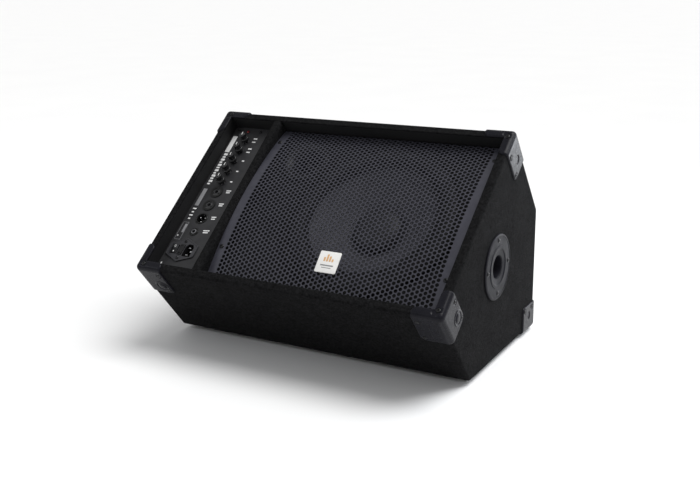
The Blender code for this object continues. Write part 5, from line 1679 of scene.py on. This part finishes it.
    def build_mains(self) -> None:
        """Build the mains unit: hexagon flange, wells, pins, rocker and fuse drawer."""
        low, high = self.wedge.on_front("mains_inlet")
        middle = (low + high) / 2
        place = self.wedge.at(middle.x, middle.y, high.z)
        inlet = self.wedge.at(middle.x + self.inlet_offset, middle.y, high.z)
        half, tall = (high.x - low.x) / 2, (high.y - low.y) / 2
        shoulder = tall * 0.48
        corners = [(-half, -shoulder), (0, -tall), (half, -shoulder)]
        corners += [(half, shoulder), (0, tall), (-half, shoulder)]
        outline = [Vector(corner) for corner in corners]
        steps = ((0.0, -0.002), (0.0, -0.0006), (0.0002, -0.0002), (0.0006, 0.0), (0.0016, 0.0))
        steps += ((0.0020, -0.0005), (0.0026, -0.0005))
        body = mesh_of(
            "mains_flange", loft([rounded_ring(outline, inset, 0.004 - inset, rise) for inset, rise in steps])
        )
        wells = []
        for node, spare in (("fuse_drawer", 0.0003), ("rocker_switch", 0.0005)):
            box_low, box_high = self.wedge.on_front(node)
            size, centre = box_high - box_low, (box_low + box_high) / 2 - middle
            well = rounded_plate(size.x + 2 * spare, size.y + 2 * spare, 0.0006, -0.02, 0.01, 1e-4)
            wells.append(shifted(well, centre.x, centre.y))
        across, up = 0.0080, 0.0120
        mouth = [(-across, -up), (across, -up), (across, 0.0065)]
        mouth += [(0.0045, up), (-0.0045, up), (-across, 0.0065)]
        mouth = [Vector(point) for point in mouth]

        def ring(inset: float, rise: float) -> np.ndarray:
            """Return the inlet's opening as a ring, moved inwards and set at a height."""
            return rounded_ring(mouth, inset, self.inlet_corner, rise)

        levels = ((0.0, -0.02), (0.0, -0.0012), (-0.0009, 0.0004), (-0.0009, 0.01))
        throat = loft([ring(inset, rise) for inset, rise in levels])
        cut = carve(body, [*wells, shifted(throat, self.inlet_offset, 0)])
        self.shop.piece("mains_flange", cut, "mains plastic", place, stands_for=("mains_inlet",), sharp=30.0)
        deep = self.inlet_floor
        levels = ((0.0, -0.0012), (0.0, deep), (-0.0012, deep), (-0.0012, -0.0012))
        tunnel = loft([ring(inset, rise) for inset, rise in levels], closed=True)
        floor = loft([ring(-0.0012, deep - 0.0015), ring(-0.0012, deep)])
        self.shop.shape("inlet_well", merged([tunnel, floor]), "mains dark", inlet)
        tub = rounded_plate(0.050, 0.027, 0.002, -0.024, deep - 0.0015, MILLI)
        self.shop.shape("mains_tub", tub, "mains dark", place)
        pin = rounded_plate(0.0042, 0.0021, 0.0004, deep, -0.0032, 0.0007)
        pins = [shifted(pin, x, y) for x, y in ((0.0040, 0.0), (-0.0015, 0.0070), (-0.0015, -0.0070))]
        self.shop.shape("inlet_pins", merged(pins), "bright steel", inlet)
        seats = [Matrix.Translation((0, side * (tall - 0.0075), -0.0006)) for side in (-1, 1)]
        self.fix("mains_screws", seats, 0.0029, place)
        self.build_rocker(*self.wedge.on_front("rocker_switch"))
        self.build_drawer(*self.wedge.on_front("fuse_drawer"))

    def build_rocker(self, low: Vector, high: Vector) -> None:
        """Build the rocker: a concave face with a dot at one end and an oval at the other."""
        hinge = next(joint for joint in frame["joints"] if joint["name"] == "rocker_tip")
        tilt = math.radians(self.rocker_tilt)
        upright = self.wedge.front.to_3x3().to_4x4()
        place = Matrix.Translation(hinge["pos_m"]) @ upright @ Matrix.Rotation(tilt, 4, "X")
        half = (high.x - low.x) / 2 - MILLI / 10
        swing = (high.y - low.y) / 2 * 0.985
        lift = self.rocker_lift
        rise = swing * math.tan(tilt)
        end = lift + rise * 0.6
        section = [(-swing * 0.45, -0.0070), (swing * 0.45, -0.0070), (swing * 0.92, 0.0), (swing * 0.97, end)]
        for share in np.linspace(1.0, -1.0, 13):
            section.append((swing * 0.95 * share, lift + rise * (0.35 + 0.55 * share * share)))
        section += [(-swing * 0.97, end), (-swing * 0.92, 0.0)]
        cap = loft([np.array([(x, y, z) for y, z in section]) for x in (-half, half)])
        body = self.shop.shape(
            "rocker_cap", cap, "rocker plastic", place, body="rocker", stands_for=("rocker_switch",)
        )
        soften(body, 0.0005)
        foot, ink = -0.0012, self.ink
        dot = revolve([(0.0, foot), (0.0011, foot), (0.0011, ink), (0.0, ink)], 24)
        oval = revolve([(0.0012, foot), (0.0017, foot), (0.0017, ink), (0.0012, ink)], 32)
        oval = oval[0] * np.array((0.8, 1.35, 1.0)), oval[1]
        lean = math.atan(rise * 1.1 * 0.6 / (swing * 0.95))
        height = lift + rise * (0.35 + 0.55 * 0.6**2) + ink
        marks = []
        for shape, side in ((dot, -1), (oval, 1)):
            seat = Matrix.Translation((0, side * swing * 0.57, height))
            marks.append(moved(shape, seat @ Matrix.Rotation(side * lean, 4, "X")))
        self.shop.shape("rocker_marks", merged(marks), "pointer white", place, body="rocker")

    def build_drawer(self, low: Vector, high: Vector) -> None:
        """Build the fuse drawer with a finger notch in its face."""
        middle = (low + high) / 2
        place = self.wedge.at(middle.x, middle.y, high.z)
        width, tall, depth = high.x - low.x, high.y - low.y, high.z - low.z
        drawer = mesh_of("drawer", rounded_plate(width, tall, 0.0008, -depth, 0.0, 0.0004))
        notch = shifted(rounded_plate(width * 0.55, 0.0022, 0.0004, -0.0014, 0.002, 1e-5), 0, -tall * 0.36)
        slot = shifted(rounded_plate(width * 0.7, 0.0006, 0.0002, -0.0005, 0.002, 1e-5), 0, tall * 0.34)
        tray = carve(drawer, [notch, slot])
        self.shop.piece("drawer_tray", tray, "mains dark", place, body="drawer", stands_for=("fuse_drawer",))

    def build_lamp(self) -> None:
        """Build the power lamp: a faintly lit red lens in a black bezel."""
        low, high = self.wedge.on_front("power_lamp")
        centre = self.wedge.centre("power_lamp")
        place = self.on_panel(centre.x, centre.y)
        radius = (high.x - low.x) / 2
        lens = [(0, -0.003), (radius, -0.003), *arc((0, 0), radius, 8, 90, 8)[:-1], (0, radius * 0.82)]
        lens = [(x, min(y, high.z - self.face)) for x, y in lens]
        self.shop.shape("lamp_lens", revolve(lens, 40), "lamp red", place, stands_for=("power_lamp",), sharp=80.0)
        inner = radius + 0.0001
        bezel = [(inner, 0), (radius + 0.0012, 0), (radius + 0.0006, 0.0008), (inner, 0.0008)]
        self.shop.shape("lamp_bezel", revolve(bezel, 40), "socket black", place)

    def build(self) -> None:
        """Build everything on the panel and dress what lies behind it."""
        self.shop.dress("amp_panel", "panel paint", MILLI / 5)
        self.build_print()
        self.build_knobs()
        self.build_combo("input_socket_1")
        self.build_combo("input_socket_2")
        self.build_output()
        self.build_jack()
        self.build_mains()
        self.build_lamp()
        left, bottom = self.low.x + self.screw_inset, self.low.y + self.screw_inset
        right, top = self.high.x - self.screw_inset, self.high.y - self.screw_inset
        spots = ((left, top), (right - self.screw_shift, top), (left, bottom), (right, bottom))
        seats = [Matrix.Translation((x, y, 0)) for x, y in spots]
        self.fix("panel_screws", seats, 0.0031, self.on_panel(0, 0))
        for node, finish in (
            ("amp_tray", "tray steel"),
            ("control_board", "circuit board"),
            ("power_board", "circuit board"),
            ("heat_sink", "heatsink alloy"),
            ("transformer", "winding tape"),
        ):
            self.shop.dress(node, finish)


@dataclass
class Hardware(SubAssembly):
    """Pole socket on the right side, handle on the rear and four rubber feet."""

    segments: int = 96
    flange_screws: int = 4
    screw_share: float = 0.81
    bore: float = 0.018
    cone_share: float = 0.543
    ring_share: float = 0.62
    thick: float = 0.0025
    seat: float = 0.0003
    sunk: float = 0.0010
    foot_bore: float = 0.0062
    handle_inset: float = 0.0085

    def build_pole_socket(self) -> None:
        """Turn the pole socket's flange, raised ring, cone and bore."""
        low, high, middle = middle_of("pole_socket")
        side = self.wedge.middle + self.wedge.half
        face, foot = high.x - side, low.x - side
        radius, bore, sunk = (high.z - low.z) / 2, self.bore, self.sunk
        place = facing((side, middle.y, middle.z), X_AXIS, Y_AXIS)
        cone, ring = radius * self.cone_share, radius * self.ring_share
        profile = [(0, foot), (bore + self.thick, foot), (bore + self.thick, self.seat), (radius, self.seat)]
        profile += [(radius, 0.0012), *arc((radius - 0.0014, 0.0012), 0.0014, 0, 90, 5)]
        profile += [(radius * 0.94, face - 0.0004), (radius * 0.93, face - sunk), (radius * 0.70, face - sunk)]
        profile += [(ring + 0.0016, face - 0.0008), (ring + 0.0010, face - 0.0001), (ring, face)]
        profile += [(cone + 0.0014, face), (cone, face - 0.0003)]
        profile += [(cone - 0.0006, face - sunk), (bore + 0.0016, face - 0.0022)]
        profile += arc((bore + 0.0012, face - 0.0040), 0.0012, 60, 180, 4)
        profile += [(bore, foot + self.thick), (0, foot + self.thick)]
        cup = revolve(profile, self.segments)
        self.shop.shape("pole_cup", cup, "pole plastic", place, stands_for=("pole_socket",), sharp=40.0)
        spot = (radius * self.screw_share, face - 0.0014, 0.0)
        self.fix_round("pole_screws", self.flange_screws, 0.0036, place, spot)

    def build_feet(self) -> None:
        """Turn the rubber feet with a washer and a screw in each."""
        washers, seats = [], []
        for name in [f"foot_{end}_{side}" for end in ("front", "rear") for side in ("left", "right")]:
            low, high, middle = middle_of(name)
            radius, tall, bore = (high.x - low.x) / 2, high.z - low.z, self.foot_bore
            base = radius * 0.86
            profile = [(bore, 0.0030), *arc((bore + 0.0008, 0.0008), 0.0008, 180, 270, 3)]
            profile += arc((base - 0.0014, 0.0014), 0.0014, -90, -12, 5)
            profile += [(radius * 0.97, tall - 0.0012), (radius, tall - 0.0006), (radius, tall), (bore, tall)]
            place = Matrix.Translation((middle.x, middle.y, low.z))
            self.shop.shape(name + "_pad", revolve(profile, 48), "rubber", place, stands_for=(name,))
            washer = revolve([(0.0, 0.0028), (0.0060, 0.0028), (0.0060, 0.0036), (0.0, 0.0036)], 32)
            washers.append(shifted(washer, middle.x, middle.y, low.z))
            seats.append(facing((middle.x, middle.y, low.z + 0.0028), -Z_AXIS, X_AXIS))
        self.shop.shape("foot_washers", merged(washers), "bright steel")
        self.fix("foot_screws", seats, 0.0038)

    def build_handle(self) -> None:
        """Dress the handle and set its four corner screws."""
        self.shop.dress("carry_handle", "handle plastic", 0.0012)
        low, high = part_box("carry_handle")
        inset = self.handle_inset
        seats = []
        for x in (low.x + inset, high.x - inset):
            for z in (low.z + inset, high.z - inset):
                seats.append(facing((x, high.y, z), Y_AXIS, X_AXIS))
        self.fix("handle_screws", seats, 0.0036)

    def build(self) -> None:
        """Build the three kinds of hardware."""
        self.build_pole_socket()
        self.build_feet()
        self.build_handle()


@dataclass
class Studio:
    """Pale floor, soft lights and the camera."""

    lens: float = 50.0
    width: float = 36.0
    eye: tuple[float, float, float] = (0.7821, -1.3500, 0.6045)
    pitch: float = -74.563
    roll: float = 0.696
    heading: float = -29.479
    floor: float = 45.0
    floor_corner: float = 3.0
    world: float = 0.50
    sun: float = 2.35
    sun_spread: float = 38.0
    daylight: Colour = (0.90, 0.94, 1.0)

    def build_camera(self) -> None:
        """Stand the camera to the front right of the monitor, a little above it."""
        data = bpy.data.cameras.new("camera")
        data.lens, data.sensor_width = self.lens, self.width
        camera = bpy.data.objects.new("camera", data)
        turn = WORLD
        for degrees, axis in ((self.roll, "Z"), (self.pitch, "X"), (self.heading, "Z")):
            turn = turn @ Matrix.Rotation(math.radians(degrees), 4, axis)
        camera.matrix_world = Matrix.Translation(self.eye) @ turn.transposed()
        bpy.context.scene.collection.objects.link(camera)
        bpy.context.scene.camera = camera

    def build_floor(self) -> None:
        """Lay the pale floor."""
        outline = rounded_rectangle(2 * self.floor, 2 * self.floor, self.floor_corner)
        mesh = mesh_of("floor", loft([at_height(outline, height) for height in (-0.02, 0.0)]))
        material = bpy.data.materials.new("studio floor")
        material.use_nodes = True
        graph = Graph(material.node_tree)
        shader = material.node_tree.nodes["Principled BSDF"]
        tone = graph.noise(graph.coordinates(), 3.0, 4.0)
        graph.feed(shader.inputs["Base Color"], graph.blend(tone, (0.86, 0.86, 0.86), (0.90, 0.90, 0.895)))
        shader.inputs["Roughness"].default_value = 0.6
        mesh.materials.append(material)
        floor = bpy.data.objects.new("studio_floor", mesh)
        bpy.context.scene.collection.objects.link(floor)

    def hang(self, light: bpy.types.Light, spot: Sequence[float], aim: Sequence[float]) -> None:
        """Hang a light where it looks at a point."""
        lamp = bpy.data.objects.new(light.name, light)
        turn = (Vector(aim) - Vector(spot)).to_track_quat("-Z", "Y").to_matrix().to_4x4()
        lamp.matrix_world = Matrix.Translation(spot) @ turn
        bpy.context.scene.collection.objects.link(lamp)

    def build_lights(self) -> None:
        """Hang the wide, even light that whitens the floor, and three square soft lights."""
        sun = bpy.data.lights.new("overhead", "SUN")
        sun.energy, sun.angle = self.sun, math.radians(self.sun_spread)
        self.hang(sun, (1.0, 0.5, 2.6), (0.0, 0.0, 0.0))
        for name, spot, aim, size, power in (
            ("key", (1.05, 0.62, 1.0), (0.25, 0.0, 0.25), 0.8, 7.0),
            ("front", (-1.7, -1.9, 1.8), (-0.1, 0.0, 0.2), 1.1, 8.0),
            ("rim", (0.98, 1.45, 0.30), (0.25, 0.1, 0.3), 0.55, 5.0),
        ):
            light = bpy.data.lights.new(name, "AREA")
            light.size, light.energy, light.color = size, power, self.daylight
            self.hang(light, spot, aim)

    def build(self) -> None:
        """Set up the studio."""
        scene = bpy.context.scene
        scene.view_settings.view_transform = "Standard"
        world = bpy.data.worlds.new("studio")
        world.use_nodes = True
        backdrop = world.node_tree.nodes["Background"].inputs
        backdrop["Color"].default_value = (1.0, 1.0, 1.0, 1.0)
        backdrop["Strength"].default_value = self.world
        scene.world = world
        self.build_floor()
        self.build_lights()
        self.build_camera()


def finishes(wedge: Wedge) -> list[Finish]:
    """Return every finish of the monitor."""
    normal = tuple(wedge.normal)
    line = Vector(normal).dot(wedge.at(0, wedge.slant / 2, -0.034).translation)
    plastic = Finish("guard plastic", "guard_plastic", (0.0065, 0.0065, 0.0095), (0.0095, 0.0095, 0.0130), 0.27,
                     scale=1500.0, depth=0.00003, wear=0.3, worn=(0.05, 0.05, 0.055), dust=0.004, specular=0.11)
    return [
        PaintedPly("plywood", "plywood", (0.36, 0.23, 0.12), (0.50, 0.34, 0.19), 0.62, pattern=Pattern.TIMBER,
                   scale=90.0, depth=0.0001, normal=normal, paint_line=line),
        Finish("carpet", "carpet", (0.0004, 0.0004, 0.0006), (0.0175, 0.0175, 0.0185), 0.94, pattern=Pattern.FELT,
               scale=640.0, depth=0.0010, dust=0.004, specular=0.08),
        Finish("baffle paint", "black_board", (0.005, 0.005, 0.006), (0.010, 0.010, 0.011), 0.7, scale=700.0,
               depth=0.0001, dust=0.01, specular=0.2),
        Finish("batten paint", "black_board", (0.004, 0.004, 0.004), (0.009, 0.009, 0.009), 0.7),
        plastic,
        Finish("screw steel", "steel", (0.006, 0.006, 0.007), (0.014, 0.014, 0.015), 0.3, metallic=0.3,
               pattern=Pattern.BRUSHED, scale=900.0, depth=0.00002, wear=0.5, worn=(0.20, 0.20, 0.21), dust=0.0),
        Finish("bright steel", "steel", (0.50, 0.50, 0.51), (0.62, 0.62, 0.63), 0.26, metallic=0.95,
               pattern=Pattern.BRUSHED, scale=1200.0, depth=0.00001),
        Finish("dull nickel", "steel", (0.15, 0.15, 0.16), (0.21, 0.21, 0.22), 0.42, metallic=0.6,
               pattern=Pattern.BRUSHED, scale=1200.0, depth=0.00001, dust=0.0),
        Finish("grille steel", "grille_steel", (0.036, 0.036, 0.048), (0.047, 0.047, 0.061), 0.40, metallic=0.15,
               scale=2600.0, depth=0.00003, wear=0.2, worn=(0.08, 0.08, 0.09), dust=0.01),
        Finish("badge white", "badge", (0.74, 0.73, 0.70), (0.80, 0.79, 0.77), 0.34, scale=1400.0, depth=0.00002,
               coat=0.3, dust=0.0),
        Finish("badge amber", "badge", (0.66, 0.40, 0.20), (0.60, 0.35, 0.17), 0.4, scale=1400.0,
               depth=0.00002, dust=0.0),
        Finish("badge ink", "badge", (0.20, 0.20, 0.205), (0.26, 0.26, 0.26), 0.4, scale=1400.0,
               depth=0.00002, dust=0.0),
        Finish("basket paint", "basket_steel", (0.008, 0.008, 0.009), (0.014, 0.014, 0.015), 0.45, metallic=0.3,
               scale=1200.0),
        Finish("gasket fibre", "gasket", (0.004, 0.004, 0.004), (0.012, 0.012, 0.011), 0.9, pattern=Pattern.FELT,
               scale=700.0, depth=0.0002, specular=0.2),
        Finish("surround cloth", "surround", (0.003, 0.003, 0.0035), (0.009, 0.009, 0.010), 0.7, pattern=Pattern.WEAVE,
               scale=5200.0, depth=0.0001, dust=0.0),
        Finish("cone paper", "cone_paper", (0.055, 0.055, 0.064), (0.080, 0.080, 0.090), 0.6, pattern=Pattern.FELT,
               scale=1100.0, depth=0.00025, dust=0.0),
        Finish("dust cap", "dust_cap", (0.022, 0.022, 0.025), (0.034, 0.034, 0.038), 0.5, pattern=Pattern.FELT,
               scale=1300.0, depth=0.0001, dust=0.0),
        Finish("spider cloth", "spider", (0.10, 0.075, 0.045), (0.15, 0.11, 0.07), 0.85, pattern=Pattern.WEAVE,
               scale=4200.0, depth=0.0002),
        Finish("ferrite", "ferrite", (0.030, 0.030, 0.031), (0.055, 0.054, 0.053), 0.6, scale=500.0, depth=0.0001),
        Finish("horn plastic", "horn_plastic", (0.008, 0.008, 0.009), (0.013, 0.013, 0.014), 0.34, scale=1500.0),
        Finish("driver metal", "driver_metal", (0.20, 0.20, 0.21), (0.30, 0.30, 0.31), 0.36, metallic=0.8,
               pattern=Pattern.BRUSHED, scale=900.0, depth=0.00002),
        Finish("panel paint", "panel_paint", (0.020, 0.020, 0.022), (0.028, 0.028, 0.030), 0.46, metallic=0.1,
               scale=2600.0, depth=0.00004, wear=0.2, worn=(0.12, 0.12, 0.12), dust=0.01),
        Finish("panel ink", "panel_paint", (0.66, 0.66, 0.66), (0.76, 0.76, 0.76), 0.5, scale=1800.0, depth=0.00001,
               dust=0.0),
        Finish("panel grey ink", "panel_paint", (0.20, 0.20, 0.21), (0.25, 0.25, 0.26), 0.5, scale=1800.0,
               depth=0.00001, dust=0.0),
        Finish("tray steel", "tray_steel", (0.48, 0.49, 0.50), (0.62, 0.63, 0.64), 0.38, metallic=0.9,
               pattern=Pattern.BRUSHED, scale=500.0),
        Finish("circuit board", "circuit_board", (0.012, 0.075, 0.030), (0.020, 0.11, 0.045), 0.42,
               pattern=Pattern.WEAVE, scale=3600.0, depth=0.00004),
        Finish("knob plastic", "knob_plastic", (0.0035, 0.0035, 0.004), (0.007, 0.007, 0.008), 0.30, scale=2200.0,
               depth=0.00003, wear=0.3, worn=(0.04, 0.04, 0.04), dust=0.0, specular=0.5),
        Finish("pointer white", "knob_plastic", (0.78, 0.78, 0.76), (0.86, 0.86, 0.85), 0.45, scale=1800.0,
               depth=0.00001, dust=0.0),
        Finish("socket grey", "socket_grey", (0.026, 0.026, 0.028), (0.038, 0.038, 0.040), 0.4, scale=2000.0,
               depth=0.00003),
        Finish("socket black", "socket_black", (0.003, 0.003, 0.0032), (0.007, 0.007, 0.007), 0.34, scale=2000.0,
               depth=0.00003, dust=0.0),
        Finish("mains plastic", "mains_plastic", (0.024, 0.024, 0.028), (0.034, 0.034, 0.038), 0.36, scale=2000.0,
               depth=0.00004, wear=0.2, worn=(0.10, 0.10, 0.11), dust=0.01),
        Finish("mains dark", "mains_plastic", (0.004, 0.004, 0.0045), (0.008, 0.008, 0.009), 0.42, scale=2000.0,
               depth=0.00004, dust=0.0),
        Finish("rocker plastic", "rocker_plastic", (0.004, 0.004, 0.005), (0.008, 0.008, 0.009), 0.28, scale=2400.0,
               depth=0.00002, dust=0.0),
        Finish("lamp red", "lamp", (0.16, 0.006, 0.006), (0.12, 0.005, 0.004), 0.2, scale=1800.0, depth=0.00001,
               coat=0.5, glow=0.15, dust=0.0),
        Finish("heatsink alloy", "heatsink", (0.50, 0.51, 0.52), (0.62, 0.63, 0.64), 0.36, metallic=0.95,
               pattern=Pattern.BRUSHED, scale=700.0),
        Finish("winding tape", "winding", (0.36, 0.26, 0.05), (0.46, 0.34, 0.08), 0.5, pattern=Pattern.BRUSHED,
               scale=260.0, depth=0.0002),
        Finish("rubber", "rubber", (0.005, 0.005, 0.005), (0.011, 0.011, 0.011), 0.78, scale=1300.0,
               depth=0.00008, dust=0.02),
        Finish("lead insulation", "lead", (0.34, 0.02, 0.02), (0.42, 0.03, 0.03), 0.45, scale=1600.0),
        Finish("handle plastic", "handle_plastic", (0.009, 0.009, 0.010), (0.014, 0.014, 0.016), 0.42, scale=1300.0,
               depth=0.00008, wear=0.3, worn=(0.05, 0.05, 0.05)),
        replace(plastic, name="pole plastic", slot="pole_plastic", roughness=0.44, specular=0.08),
    ]


def main() -> None:
    """Build the monitor's looks and the studio."""
    wedge = Wedge()
    shop = Workshop(Wardrobe(finishes(wedge)))
    screws = Screws()
    for kind in (Cabinet, Guards, Grille, Woofer, Tweeter, AmpPanel, Hardware):
        assembly = kind(wedge, shop, screws)
        assembly.build()
        LOG.info("%s is in place", kind.__name__)
    Studio().build()
    LOG.info("%d pieces in all", len(shop.pieces))


if __name__ == "__main__":
    logging.basicConfig(level=logging.INFO, format="%(name)s: %(message)s")
    main()
